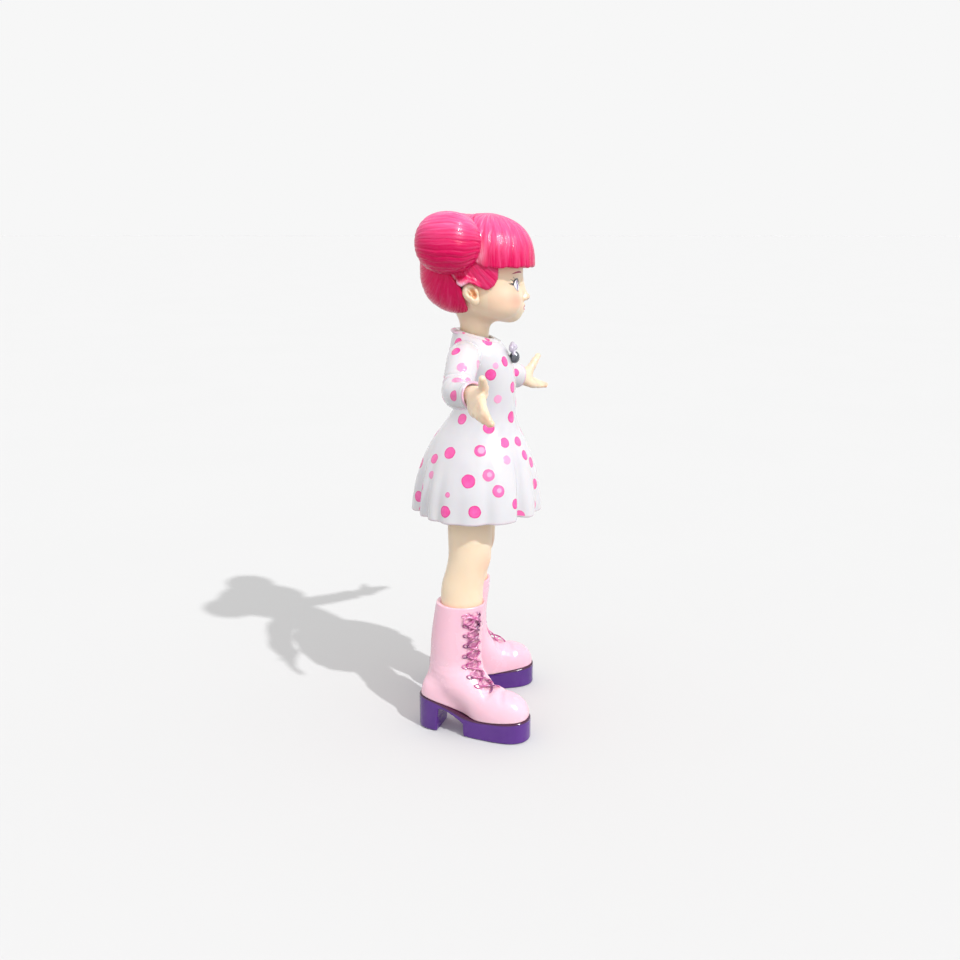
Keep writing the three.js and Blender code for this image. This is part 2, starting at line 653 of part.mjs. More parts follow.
// The hand in its own frame: fingers along u, thumb along v, and the palm turned about u.
function hand(arm) {
  const { end, out } = cuff(arm);
  const direction = ([x, forward, z]) => at(x, forward, z).sub(at(0, 0, 0)).normalize();
  const u = direction(arm.fingers);
  const w = u.clone().cross(direction(arm.thumb)).normalize().multiplyScalar(arm.side);
  const v = w.clone().cross(u).multiplyScalar(arm.side);
  const root = end.clone().addScaledVector(out, 0.6);
  const place = (a, b, c) => root.clone().addScaledVector(u, a).addScaledVector(v, b).addScaledVector(w, c);
  const turn = THREE.MathUtils.degToRad(arm.turn);
  const across = v.clone().multiplyScalar(Math.cos(turn)).addScaledVector(w, -Math.sin(turn));
  const facing = w.clone().multiplyScalar(Math.cos(turn)).addScaledVector(v, Math.sin(turn));

  // A point at a length along the hand's bent middle line, side across it and lift off it.
  const heading = (length) => {
    const k = BEND_AT.findIndex((stop, i) => i > 0 && length <= stop);
    const t = (length - BEND_AT[k - 1]) / (BEND_AT[k] - BEND_AT[k - 1]);
    return THREE.MathUtils.degToRad(arm.bend[k - 1] * (1 - t) + arm.bend[k] * t);
  };
  const spot = (length, side, lift) => {
    const steps = Math.max(1, Math.ceil(length / 0.25));
    let a = 0;
    let c = 0;
    for (let i = 0; i < steps; i++) {
      const way = heading(((i + 0.5) / steps) * length);
      a += (Math.cos(way) * length) / steps;
      c += (Math.sin(way) * length) / steps;
    }
    const h = heading(length);
    a -= lift * Math.sin(h);
    c += lift * Math.cos(h);
    return root.clone().addScaledVector(u, a).addScaledVector(across, side).addScaledVector(facing, c);
  };
  const rod = (stations) => {
    const rings = stations.map(([length, side, wide, deep]) => {
      const ring = [];
      for (let k = 0; k < 8; k++) {
        const angle = (k / 8) * Math.PI * 2;
        ring.push(spot(length, side + Math.cos(angle) * wide, Math.sin(angle) * deep));
      }
      return ring;
    });
    return loft(rings);
  };
  const palm = rod([
    [0, 0, 2.3, 2.1],
    [2.2, 0.3, 2.7, 2.0],
    [4.5, 0.3, 3.6, 1.6],
    [8.4, 0.9, 3.1, 1.35],
    [9.6, 0.85, 2.9, 1.2],
  ]);
  const fingers = [0, 1, 2, 3].map((i) => {
    const base = 2.75 - i * 1.233;
    const tip = 1.3 - i * 0.52;
    const reach = FINGER_REACH[i];
    return rod([
      [7.8, base, 0.95, 1.05],
      [7.8 + (reach - 7.8) * 0.5, (base + tip) / 2, 0.9, 0.95],
      [reach, tip, 0.75, 0.75],
      [reach + 0.6, tip, 0.35, 0.35],
    ]);
  });
  const thumbPath = [
    [2.5, 0.9, 0.4, 1.7],
    [3.6, 2.8, arm.thumbArc * 0.8, 1.5],
    [4.6, 4.7, arm.thumbArc, 1.3],
    [5.7, 6.9, (arm.thumbArc + 0.7) / 2, 1.1],
    [6.7, 8.9, 0.8, 0.9],
    [7.1, 9.8, 0.7, 0.45],
  ].map(([a, b, c, radius]) => {
    const p = place(a, b, c);
    return [p.x, ORIGIN_FORWARD - p.y, p.z, radius];
  });
  const thumb = limb(thumbPath, { count: 9 });
  const wrist = turned(end, out, [
    [-WRIST.recess + GAP, WRIST.radius - 0.2],
    [0.6, WRIST.radius],
    [1.6, WRIST.radius - 0.5],
  ]);
  const peg = turned(end, out, [
    [-WRIST.recess - WRIST.pegLength, WRIST.peg],
    [0, WRIST.peg],
  ]);
  const clear = turned(end, out, [
    [-2, WRIST.radius + 4],
    [GAP, WRIST.radius + 4],
  ]);
  return join(cut(join(palm, ...fingers, thumb), clear), wrist, peg);
}

// ---- Assembly ----

const SKIN = 0xf2d9ae;
const HAIR = 0xec1f6b;
const DRESS_WHITE = 0xf1eff3;
const BOOT_PINK = 0xf4bcd2;
const SOLE_PURPLE = 0x5b2d8c;
const PLUG_GREY = 0xc9c9cc;

const figure = new THREE.Group();
figure.add(
  piece("face_shell", faceShell(), SKIN),
  piece("neck_plug", neckPlug(), PLUG_GREY),
  piece("hair_front", hairFront(), HAIR, 0.3),
  piece("hair_back", hairBack(), HAIR, 0.3),
  piece("dress_shell", dressShell(), DRESS_WHITE, 0.25),
  piece("collar", collar(), DRESS_WHITE, 0.25),
  piece("chest_bow", chestBow(), 0xd9cfe0, 0.3),
  piece("chest_charm", chestCharm(), 0x8a8d94, 0.25, 0.9),
  piece("hip_block", hipBlock(), DRESS_WHITE, 0.4),
);
for (const [name, arm] of Object.entries(ARMS)) {
  figure.add(
    piece(`side_lock_${name}`, sideLock(arm.side), HAIR, 0.3),
    piece(`bun_${name}`, bun(arm.side), HAIR, 0.3),
    piece(`leg_${name}`, leg(arm.side), SKIN),
    piece(`boot_${name}`, boot(arm.side), BOOT_PINK, 0.25),
    piece(`sole_${name}`, sole(arm.side), SOLE_PURPLE, 0.25),
    piece(`sleeve_${name}`, sleeve(arm), DRESS_WHITE, 0.25),
    piece(`shoulder_plug_${name}`, shoulderPlug(arm), PLUG_GREY),
    piece(`hand_${name}`, hand(arm), SKIN),
  );
}

export default figure;
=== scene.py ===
"""A painted vinyl doll figure: the looks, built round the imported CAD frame.

Lengths inside this script are millimetres in the figure's own directions: x to its left, forward, and z up.
place() turns them into the frame's metres. Bodies that curve both ways are implicit shapes ("clay"): a
function gives the distance of any point to the surface, skin() puts a mesh on it, and relief moves its
vertices along their normals.
"""
import math
import bpy
import numpy as np
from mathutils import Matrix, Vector


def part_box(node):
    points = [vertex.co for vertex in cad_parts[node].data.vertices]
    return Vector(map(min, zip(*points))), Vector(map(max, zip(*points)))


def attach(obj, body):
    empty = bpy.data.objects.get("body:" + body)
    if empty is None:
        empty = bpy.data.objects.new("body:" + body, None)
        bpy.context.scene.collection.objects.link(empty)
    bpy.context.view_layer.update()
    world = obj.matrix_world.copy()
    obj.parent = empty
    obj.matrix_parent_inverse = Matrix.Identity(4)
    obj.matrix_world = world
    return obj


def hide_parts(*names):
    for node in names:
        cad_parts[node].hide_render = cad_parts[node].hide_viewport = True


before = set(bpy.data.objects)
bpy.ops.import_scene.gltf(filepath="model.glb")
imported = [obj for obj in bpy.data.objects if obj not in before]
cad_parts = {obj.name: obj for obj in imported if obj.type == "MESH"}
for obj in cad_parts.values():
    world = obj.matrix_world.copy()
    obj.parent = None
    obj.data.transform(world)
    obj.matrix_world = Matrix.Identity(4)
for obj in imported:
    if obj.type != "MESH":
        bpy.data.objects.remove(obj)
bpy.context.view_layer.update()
MM = 0.001

# The neck plug's middle is this far forward of the figure's own origin, which gives that origin's place.
NECK_FORWARD = -0.9
plug_lo, plug_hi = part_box("neck_plug")
ORIGIN_Y = np.array((plug_lo + plug_hi) / 2)[1] / MM + NECK_FORWARD


def place(points):
    p = np.asarray(points, float).reshape(-1, 3)
    return np.column_stack([p[:, 0], ORIGIN_Y - p[:, 1], p[:, 2]]) * MM


def search_box(node, side, below, above):
    """The figure box in which to look for the visible shape of a CAD node: its own box and a margin."""
    lo, hi = (np.array(corner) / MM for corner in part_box(node))
    low = (lo[0] - side, ORIGIN_Y - hi[1] - side, lo[2] - below)
    high = (hi[0] + side, ORIGIN_Y - lo[1] + side, hi[2] + above)
    return low, high


# ---------------------------------------------------------------- camera
LENS, SENSOR = 37.5, 36
CAMERA_AT = (-290.4, 20.3, 146.3)
LOOK_AT = (0.0, 0.0, 73.74)

camera = bpy.data.objects.new("camera", bpy.data.cameras.new("camera"))
bpy.context.scene.collection.objects.link(camera)
camera.data.lens = LENS
camera.data.sensor_width = SENSOR
camera.data.clip_start = 0.01
camera.data.clip_end = 50
camera.location = place(CAMERA_AT)[0]
aim = Vector(place(LOOK_AT)[0]) - camera.location
camera.rotation_euler = aim.to_track_quat("-Z", "Y").to_euler()
bpy.context.scene.camera = camera


# ---------------------------------------------------------------- mesh helpers
def make(name, points, faces, materials, body, nodes=(), slot=None, fields=None, face_slots=None):
    """A mesh object from figure points and quads, facing out, riding on a body.

    slot is not used.
    fields are values at its points, which its material reads, and face_slots says which material a face has.
    """
    materials = materials if isinstance(materials, list) else [materials]
    mesh = bpy.data.meshes.new(name)
    world = place(points)
    a, b, c, d = (world[faces[:, i]] - world.mean(0) for i in range(4))
    volume = np.einsum("ij,ij->i", a, np.cross(b, c) + np.cross(c, d)).sum()
    if volume < 0:
        faces = faces[:, ::-1]
    mesh.vertices.add(len(world))
    mesh.vertices.foreach_set("co", world.astype(np.float32).ravel())
    mesh.loops.add(faces.size)
    mesh.loops.foreach_set("vertex_index", faces.astype(np.int32).ravel())
    mesh.polygons.add(len(faces))
    mesh.polygons.foreach_set("loop_start", np.arange(0, faces.size, 4, dtype=np.int32))
    mesh.update(calc_edges=True)
    for material in materials:
        mesh.materials.append(material)
    if face_slots is not None:
        mesh.polygons.foreach_set("material_index", np.asarray(face_slots, np.int32))
    for key, values in (fields or {}).items():
        mesh.attributes.new(key, "FLOAT", "POINT").data.foreach_set("value", np.asarray(values, np.float32))
    mesh.polygons.foreach_set("use_smooth", np.ones(len(faces), bool))
    mesh.update()
    o = bpy.data.objects.new(name, mesh)
    bpy.context.scene.collection.objects.link(o)
    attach(o, body)
    if nodes:
        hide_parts(*nodes)


def grid_faces(rows, cols, wrap=True):
    """Quads between rows of points, each row closed on itself when wrap is set."""
    r = np.arange(rows - 1)[:, None] * cols
    c = np.arange(cols if wrap else cols - 1)[None, :]
    n = (c + 1) % cols
    return np.stack([r + c, r + n, r + n + cols, r + c + cols], -1).reshape(-1, 4)


def capped(rows):
    """Points and quads of a closed skin over equal rings; a tiny ring at each end's middle closes it."""
    tiny = 0.001
    ends = [row.mean(0) * (1 - tiny) + row * tiny for row in (rows[0], rows[-1])]
    rings = [ends[0], *rows, ends[1]]
    return np.vstack(rings), grid_faces(len(rings), len(rows[0]))


def merge(layers):
    """One mesh from layers of (points, quads, material index)."""
    starts = np.cumsum([0] + [len(p) for p, _, _ in layers])
    faces = [f + start for (_, f, _), start in zip(layers, starts)]
    index = [np.full(len(f), i) for _, f, i in layers]
    return np.vstack([p for p, _, _ in layers]), np.vstack(faces), np.concatenate(index)


def circle(n):
    return np.linspace(0, 2 * np.pi, n, endpoint=False)


def oval(around, x, back, front, half, z, bulge=0.0):
    """A level ring from back to front, with its half width, at angles round from the front."""
    forward = (back + front) / 2 + ((front - back) / 2 + bulge) * np.cos(around)
    return np.column_stack([x + half * np.sin(around), forward, np.full(len(around), z)])


def spline(table, at):
    """Smooth values at the given places, from rows of [place, value, value, ...] in rising order."""
    t = np.asarray(table, float)
    x, y = t[:, 0], t[:, 1:]
    slope = np.gradient(y, x, axis=0)
    at = np.clip(np.asarray(at, float), x[0], x[-1])
    i = np.clip(np.searchsorted(x, at) - 1, 0, len(x) - 2)
    h = (x[i + 1] - x[i])[..., None]
    s = ((at - x[i]) / (x[i + 1] - x[i]))[..., None]
    a, b = y[i], y[i + 1]
    return (
        (2 * s**3 - 3 * s**2 + 1) * a + (s**3 - 2 * s**2 + s) * h * slope[i]
        + (3 * s**2 - 2 * s**3) * b + (s**3 - s**2) * h * slope[i + 1]
    )


def smooth(low, high, v):
    """0 up to low and 1 from high, with a smooth step between them; low may be the larger."""
    s = np.clip((v - low) / (high - low), 0, 1)
    return s * s * (3 - 2 * s)


def bell(v, middle, width):
    return np.exp(-(((v - middle) / width) ** 2))


def wobble(v, seed=0.0):
    """A smooth wandering value between about -1 and 1."""
    return (
        0.55 * np.sin(v + seed * 1.7) + 0.3 * np.sin(v * 2.17 + seed * 3.1 + 1.3)
        + 0.2 * np.sin(v * 4.31 + seed * 5.3 + 0.4)
    )


def ridges(u, power=0.7):
    """Rounded strands with sharp grooves between them, one per unit of u, between 0 and 1."""
    return np.abs(np.sin(np.pi * u)) ** power


def unit(v):
    """Vectors made one long."""
    v = np.asarray(v, float)
    return v / np.maximum(np.linalg.norm(v, axis=-1, keepdims=True), 1e-6)


def sides(direction):
    """Two directions square to a limb's direction: a level one across it, and one up from it."""
    across = unit(np.cross((0, 0, 1.0), direction))
    return across, np.cross(direction, across)


# ---------------------------------------------------------------- clay: distance functions on points (N, 3)
def ball(p, centre, radii, power=2.0):
    """An egg with three radii; a power above 2 makes it boxier."""
    q = np.abs((p - np.asarray(centre)) / np.asarray(radii))
    n = (q**power).sum(1) ** (1 / power) if power != 2 else np.sqrt((q * q).sum(1))
    g = q / np.asarray(radii)
    return (n - 1) * n / np.maximum(np.sqrt((g * g).sum(1)), 1e-6)


def rod(p, a, b, radius_a, radius_b):
    """A round-ended rod from a to b that tapers between two radii."""
    a, b = np.asarray(a, float), np.asarray(b, float)
    ab = b - a
    h = np.clip((p - a) @ ab / (ab @ ab), 0, 1)
    return np.linalg.norm(p - a - h[:, None] * ab, axis=1) - (radius_a + (radius_b - radius_a) * h)


def blend(a, b, softness=1.0):
    h = np.clip(0.5 + 0.5 * (b - a) / softness, 0, 1)
    return b + (a - b) * h - softness * h * (1 - h)


def carve(a, b, softness=0.3):
    """Clay a without clay b."""
    return -blend(-a, b, softness)


def mould(p, d, steps):
    """Clay d after each step of (blend or carve, softness, shape, the shape's own numbers)."""
    for join, softness, shape, *numbers in steps:
        d = join(d, shape(p, *numbers), softness)
    return d


def level(p, table, power=2.0):
    """Stacked level rings, from rows of [z, x, back, front, half width]."""
    r = spline(table, p[:, 2])
    half = np.maximum(r[:, 3], 0.05)
    deep = np.maximum((r[:, 2] - r[:, 1]) / 2, 0.05)
    u = np.abs((p[:, 0] - r[:, 0]) / half)
    v = np.abs((p[:, 1] - (r[:, 1] + r[:, 2]) / 2) / deep)
    n = (u**power + v**power) ** (1 / power)
    ends = np.maximum(table[0][0] - p[:, 2], p[:, 2] - table[-1][0])
    return np.maximum((n - 1) * np.minimum(half, deep), ends)


def outline_distance(f, z, outline):
    """Distance to a closed outline in an upright plane, negative inside."""
    best = np.full(len(f), 1e9)
    inside = np.zeros(len(f), bool)
    for a, b in zip(outline, np.roll(outline, -1, axis=0)):
        e = b - a
        w = np.column_stack([f - a[0], z - a[1]])
        h = np.clip(w @ e / (e @ e), 0, 1)
        best = np.minimum(best, np.linalg.norm(w - h[:, None] * e, axis=1))
        crosses = (a[1] > z) != (b[1] > z)
        inside ^= crosses & (f < a[0] + (z - a[1]) * e[0] / (e[1] if e[1] else 1e-9))
    return np.where(inside, -best, best)


def mirrored(p):
    """Points with their x made positive, for a shape that is the same on both sides."""
    return np.column_stack([np.abs(p[:, 0]), p[:, 1:]])


def gradient(field, p, e=0.02):
    g = np.empty_like(p)
    for i in range(3):
        d = np.zeros(3)
        d[i] = e
        g[:, i] = (field(p + d) - field(p - d)) / (2 * e)
    return g


SLAB = 400000  # grid points worked on at a time
RELAX = 4  # rounds that even out the mesh and pull it back onto the surface


def skin(field, low, high, step):
    """Points, quads and outward normals of a mesh on the surface where the field is zero."""
    low, high = np.asarray(low, float), np.asarray(high, float)
    n = np.ceil((high - low) / step).astype(int) + 1
    axes = [low[i] + step * np.arange(n[i]) for i in range(3)]
    d = np.empty(n)
    yz = np.stack(np.meshgrid(axes[1], axes[2], indexing="ij"), -1).reshape(-1, 2)
    slab = max(1, SLAB // len(yz))
    for i in range(0, n[0], slab):
        xs = axes[0][i : i + slab]
        p = np.column_stack([np.repeat(xs, len(yz)), np.tile(yz, (len(xs), 1))])
        d[i : i + slab] = field(p).reshape(len(xs), n[1], n[2])
    inside = d < 0
    m = n - 1
    corners = [(a, b, c) for a in (0, 1) for b in (0, 1) for c in (0, 1)]
    count = np.zeros(m, np.int8)
    for a, b, c in corners:
        count += inside[a : a + m[0], b : b + m[1], c : c + m[2]]

    # One point for each cell that the surface crosses: the middle of where it crosses the cell's edges.
    cells = np.argwhere((count > 0) & (count < 8))
    index = np.full(m, -1, np.int64)
    index[tuple(cells.T)] = np.arange(len(cells))
    value = np.stack([d[tuple((cells + c).T)] for c in corners], 1)
    total, hits = np.zeros((len(cells), 3)), np.zeros(len(cells))
    for i, a in enumerate(corners):
        for j, b in enumerate(corners):
            if j > i and sum(abs(u - v) for u, v in zip(a, b)) == 1:
                cross = (value[:, i] < 0) != (value[:, j] < 0)
                t = value[cross, i] / (value[cross, i] - value[cross, j])
                total[cross] += np.array(a) + t[:, None] * (np.array(b) - np.array(a))
                hits[cross] += 1
    points = low + step * (cells + total / hits[:, None])

    # One quad for each grid edge that the surface crosses, between the four cells round it.
    quads = []
    for axis in range(3):
        u, v = (axis + 1) % 3, (axis + 2) % 3
        near = [slice(None)] * 3
        far = [slice(None)] * 3
        near[axis], far[axis] = slice(0, -1), slice(1, None)
        a, b = inside[tuple(near)], inside[tuple(far)]
        at = np.argwhere(a != b)
        at = at[(at[:, u] > 0) & (at[:, v] > 0) & (at[:, u] < m[u]) & (at[:, v] < m[v])]
        flip = a[tuple(at.T)]
        steps = []
        for du, dv in ((1, 1), (0, 1), (0, 0), (1, 0)):
            q = at.copy()
            q[:, u] -= du
            q[:, v] -= dv
            steps.append(index[tuple(q.T)])
        quad = np.stack(steps, 1)
        quad[~flip] = quad[~flip][:, ::-1]
        quads.append(quad)
    faces = np.vstack(quads)
    edges = np.vstack([faces[:, [0, 1]], faces[:, [1, 2]], faces[:, [2, 3]], faces[:, [3, 0]]])
    degree = np.bincount(edges.ravel(), minlength=len(points))[:, None]
    for _ in range(RELAX):
        mean = np.zeros_like(points)
        for i in range(3):
            mean[:, i] = np.bincount(edges[:, 0], points[edges[:, 1], i], len(points))
            mean[:, i] += np.bincount(edges[:, 1], points[edges[:, 0], i], len(points))
        points = 0.4 * points + 0.6 * mean / degree
        g = gradient(field, points)
        move = field(points) / np.maximum((g * g).sum(1), 0.05)
        points -= np.clip(move, -step, step)[:, None] * g
    return points, faces, unit(gradient(field, points))


# ---------------------------------------------------------------- materials
def linear(r, g, b):
    """A colour as seen on screen, 0 to 255, as linear light."""
    def one(c):
        c /= 255
        return c / 12.92 if c <= 0.04045 else ((c + 0.055) / 1.055) ** 2.4
    return (one(r), one(g), one(b), 1.0)


class Paint:
    """A material on one Principled shader, with short calls for the nodes before it."""

    def __init__(self, name, roughness=0.3, coat=0.0, subsurface=0.0, metallic=0.0, specular=0.5):
        self.material = bpy.data.materials.new(name)
        self.material.use_nodes = True
        self.tree = self.material.node_tree
        self.shader = self.tree.nodes["Principled BSDF"]
        self.set("Roughness", roughness)
        self.set("Metallic", metallic)
        self.set("Specular IOR Level", specular)
        if coat:
            self.set("Coat Weight", coat)
            self.set("Coat Roughness", 0.06)
        if subsurface:
            self.set("Subsurface Weight", subsurface)
            self.set("Subsurface Radius", (1.0, 0.5, 0.3))
            self.set("Subsurface Scale", 0.0016)
        self.where = self.add("ShaderNodeTexCoord", {}).outputs["Object"]

    def put(self, socket, value):
        """Link another node's output to a socket, or set the socket's own value."""
        if isinstance(value, bpy.types.NodeSocket):
            self.tree.links.new(value, socket)
        else:
            socket.default_value = value

    def set(self, name, value):
        self.put(self.shader.inputs[name], value)

    def add(self, kind, inputs, **settings):
        node = self.tree.nodes.new(kind)
        for key, value in settings.items():
            setattr(node, key, value)
        for key, value in inputs.items():
            self.put(node.inputs[key], value)
        return node

    def noise(self, scale, detail=3.0, roughness=0.55, where=None):
        where = self.where if where is None else where
        inputs = {"Vector": where, "Scale": scale, "Detail": detail, "Roughness": roughness}
        return self.add("ShaderNodeTexNoise", inputs).outputs["Fac"]

    def field(self, name):
        return self.add("ShaderNodeAttribute", {}, attribute_name=name).outputs["Fac"]

    def ramp(self, value, low, high, to_low=0.0, to_high=1.0):
        return self.add("ShaderNodeMapRange", {0: value, 1: low, 2: high, 3: to_low, 4: to_high}).outputs[0]

    def math(self, operation, a, b):
        return self.add("ShaderNodeMath", {0: a, 1: b}, operation=operation).outputs[0]

    def mix(self, share, a, b, mode="MIX"):
        return self.add("ShaderNodeMix", {0: share, 6: a, 7: b}, data_type="RGBA", blend_type=mode).outputs[2]

    def bump(self, height, distance, strength=1.0):
        inputs = {"Height": height, "Distance": distance, "Strength": strength}
        return self.add("ShaderNodeBump", inputs).outputs[0]

    def finish(self, colour, orange_peel, wear, roughness):
        """Colour with a little cloudiness, uneven gloss and the faint orange peel of moulded vinyl."""
        grime = self.ramp(self.noise(90, 4), 0.3, 0.75, 0.0, wear)
        self.set("Base Color", self.mix(grime, colour, (0.25, 0.22, 0.22, 1), "MULTIPLY"))
        self.set("Roughness", self.ramp(self.noise(160, 5), 0.3, 0.7, roughness * 0.8, roughness * 1.25))
        self.set("Normal", self.bump(self.noise(900, 2), orange_peel))
        return self.material


def skin_material():
    m = Paint("skin_vinyl", roughness=0.38, subsurface=0.35, specular=0.45)
    base, deep = linear(246, 224, 196), linear(239, 212, 179)
    colour = m.mix(m.ramp(m.noise(45), 0.35, 0.7, 0.0, 0.35), base, deep)
    colour = m.mix(m.field("blush"), colour, linear(244, 140, 120))
    colour = m.mix(m.field("shade"), colour, linear(224, 140, 62))
    return m.finish(colour, 0.000015, 0.05, 0.36)


def hair_material():
    """Streaks follow the strands; painted light makes the tops of the locks light pink with a painted white
    sheen, and painted shade darkens the grooves between them.
    """
    m = Paint("hair_vinyl", roughness=0.24, coat=0.08, subsurface=0.06, specular=0.16)
    # Painted light: deep and light are shaded and lit copies of the hair's red, and white is the painted
    # sheen.
    deep, light, white = linear(221, 0, 88), linear(244, 96, 154), linear(252, 196, 218)
    across, along = m.math("MULTIPLY", m.field("strand"), 1.5), m.math("MULTIPLY", m.field("along"), 0.1)
    strands = m.add("ShaderNodeCombineXYZ", {"X": across, "Y": along}).outputs[0]
    streak, fine = m.noise(1.0, 5.0, 0.6, strands), m.noise(3.6, 3.0, 0.6, strands)
    painted_light = m.math("ADD", m.field("painted_light"), m.ramp(streak, 0.3, 0.7, -0.35, 0.35))
    colour = m.mix(m.ramp(painted_light, 0.0, 1.0), deep, light)
    # The painted sheen: the share given for each piece, and more where the painted light is strongest.
    sheen_share = m.math("ADD", m.field("painted_sheen"), m.ramp(painted_light, 0.92, 1.4, 0.0, 0.62))
    sheen_share = m.math("MULTIPLY", sheen_share, m.ramp(fine, 0.3, 0.62, 0.45, 1.0))
    colour = m.mix(sheen_share, colour, white)
    # Painted shade: a darker red in the grooves between the strands.
    colour = m.mix(m.ramp(m.field("groove"), 0.0, 0.5, 0.4, 0.0), colour, linear(190, 0, 68))
    m.set("Base Color", colour)
    m.set("Roughness", m.ramp(fine, 0.3, 0.7, 0.2, 0.36))
    m.set("Normal", m.bump(fine, 0.00011, 0.6))
    return m.material


def dress_material():
    """White vinyl with dots: "print" is the distance to a dot's edge, and "thin" how thin its ink is, with a
    painted glint that pales some dots.
    """
    m = Paint("dress_vinyl", roughness=0.16, coat=0.5, subsurface=0.15)
    white = m.mix(m.ramp(m.noise(60), 0.35, 0.7, 0.0, 0.5), linear(223, 222, 225), linear(207, 204, 212))
    # Pink lines along the hem, the collar's edge and the cuffs, and painted shade in the sleeves' elbow
    # creases.
    white = m.mix(m.field("crease"), white, linear(232, 170, 205))
    ink = m.mix(m.ramp(m.noise(420, 4), 0.35, 0.65), linear(254, 96, 182), linear(240, 66, 158))
    ink = m.mix(m.ramp(m.field("print"), -0.45, -0.1, 0.0, 0.7), ink, linear(214, 44, 132))
    # Thin ink, and the painted glint in some dots, turn the ink pale pink.
    ink = m.mix(m.field("thin"), ink, linear(246, 190, 222))
    edge = m.math("ADD", m.field("print"), m.ramp(m.noise(700), 0.3, 0.7, -0.08, 0.08))
    colour = m.mix(m.ramp(edge, -0.03, 0.05, 1.0, 0.0), white, ink)
    return m.finish(colour, 0.000012, 0.03, 0.17)


def boot_material():
    m = Paint("boot_vinyl", roughness=0.22, coat=0.22, subsurface=0.15)
    base = m.mix(m.ramp(m.noise(50), 0.35, 0.7), linear(250, 203, 219), linear(246, 190, 209))
    wash = m.math("MULTIPLY", m.field("wash"), m.ramp(m.noise(520, 4), 0.38, 0.55))
    return m.finish(m.mix(wash, base, linear(168, 66, 130)), 0.000015, 0.04, 0.24)


def lace_material():
    m = Paint("lace_paint", roughness=0.25, coat=0.3)
    colour = m.mix(m.ramp(m.noise(480, 4), 0.42, 0.56), linear(188, 74, 142), linear(232, 152, 192))
    colour = m.mix(m.ramp(m.noise(260), 0.5, 0.62), colour, linear(120, 54, 108))
    return m.finish(colour, 0.00003, 0.1, 0.28)


def sole_material():
    m = Paint("sole_plastic", roughness=0.14, coat=0.3)
    base = m.mix(m.ramp(m.noise(70), 0.35, 0.7), linear(92, 36, 140), linear(76, 26, 124))
    colour = m.mix(m.ramp(m.field("welt"), 0.25, 0.6, 1.0, 0.0), base, linear(70, 16, 58))
    return m.finish(colour, 0.000012, 0.08, 0.15)


def plain_material(name, colour, shade, roughness, metallic=0.0, coat=0.0, scale=300):
    m = Paint(name, roughness=roughness, metallic=metallic, coat=coat)
    mixed = m.mix(m.ramp(m.noise(scale, 4), 0.35, 0.65), linear(*colour), linear(*shade))
    return m.finish(mixed, 0.00002, 0.08, roughness)


SKIN = skin_material()
HAIR = hair_material()
DRESS = dress_material()
BOOT = boot_material()
LACE = lace_material()
SOLE = sole_material()
PEARL = plain_material("bow_plastic", (214, 206, 222), (186, 176, 198), 0.18, 0.1, 0.5)
SILVER = plain_material("charm_plastic", (120, 122, 130), (62, 64, 72), 0.2, 0.85, 0.3)
PLUG = plain_material("plug_plastic", (204, 204, 207), (188, 188, 192), 0.45)
EYE_WHITE = plain_material("eye_white_paint", (250, 248, 250), (242, 240, 246), 0.12, 0.0, 0.4)
IRIS = plain_material("iris_paint", (138, 128, 214), (112, 100, 194), 0.1, 0.0, 0.5, 900)
IRIS_RIM = plain_material("iris_rim_paint", (66, 54, 120), (54, 42, 104), 0.1, 0.0, 0.5)
INK = plain_material("lash_paint", (28, 22, 28), (38, 30, 36), 0.2, 0.0, 0.3)
BROW = plain_material("brow_paint", (182, 58, 96), (164, 44, 82), 0.35)
LIP = plain_material("lip_paint", (226, 112, 112), (214, 98, 100), 0.25, 0.0, 0.2)
SIDES = (("left", 1), ("right", -1))

# ---------------------------------------------------------------- head
EAR_AT, EAR_LEAN = (12.3, -1.6, 129.3), 0.42
EAR = [
    (blend, 0.9, ball, (-0.1, 0.25, -1.9), (1.0, 1.3, 1.35)),  # lobe
    (carve, 0.35, ball, (1.35, 0.3, 0.75), (1.15, 1.3, 1.6)),  # upper hollow
    (carve, 0.3, ball, (1.25, 0.75, -0.6), (1.25, 0.8, 1.1)),  # lower hollow
    (blend, 0.35, rod, (0.55, 0.1, -0.3), (0.6, -0.1, 1.3), 0.26, 0.18),  # inner ridge
]


def ear(q):
    """One ear, on mirrored points: an egg that leans back, narrow at the lobe."""
    c, s = math.cos(EAR_LEAN), math.sin(EAR_LEAN)
    r = q - np.array(EAR_AT)
    r = np.column_stack([r[:, 0], r[:, 1] * c + r[:, 2] * s, -r[:, 1] * s + r[:, 2] * c])
    return mould(r, ball(r, (0, 0, 0.55), (1.25, 2.2, 2.6)), EAR)


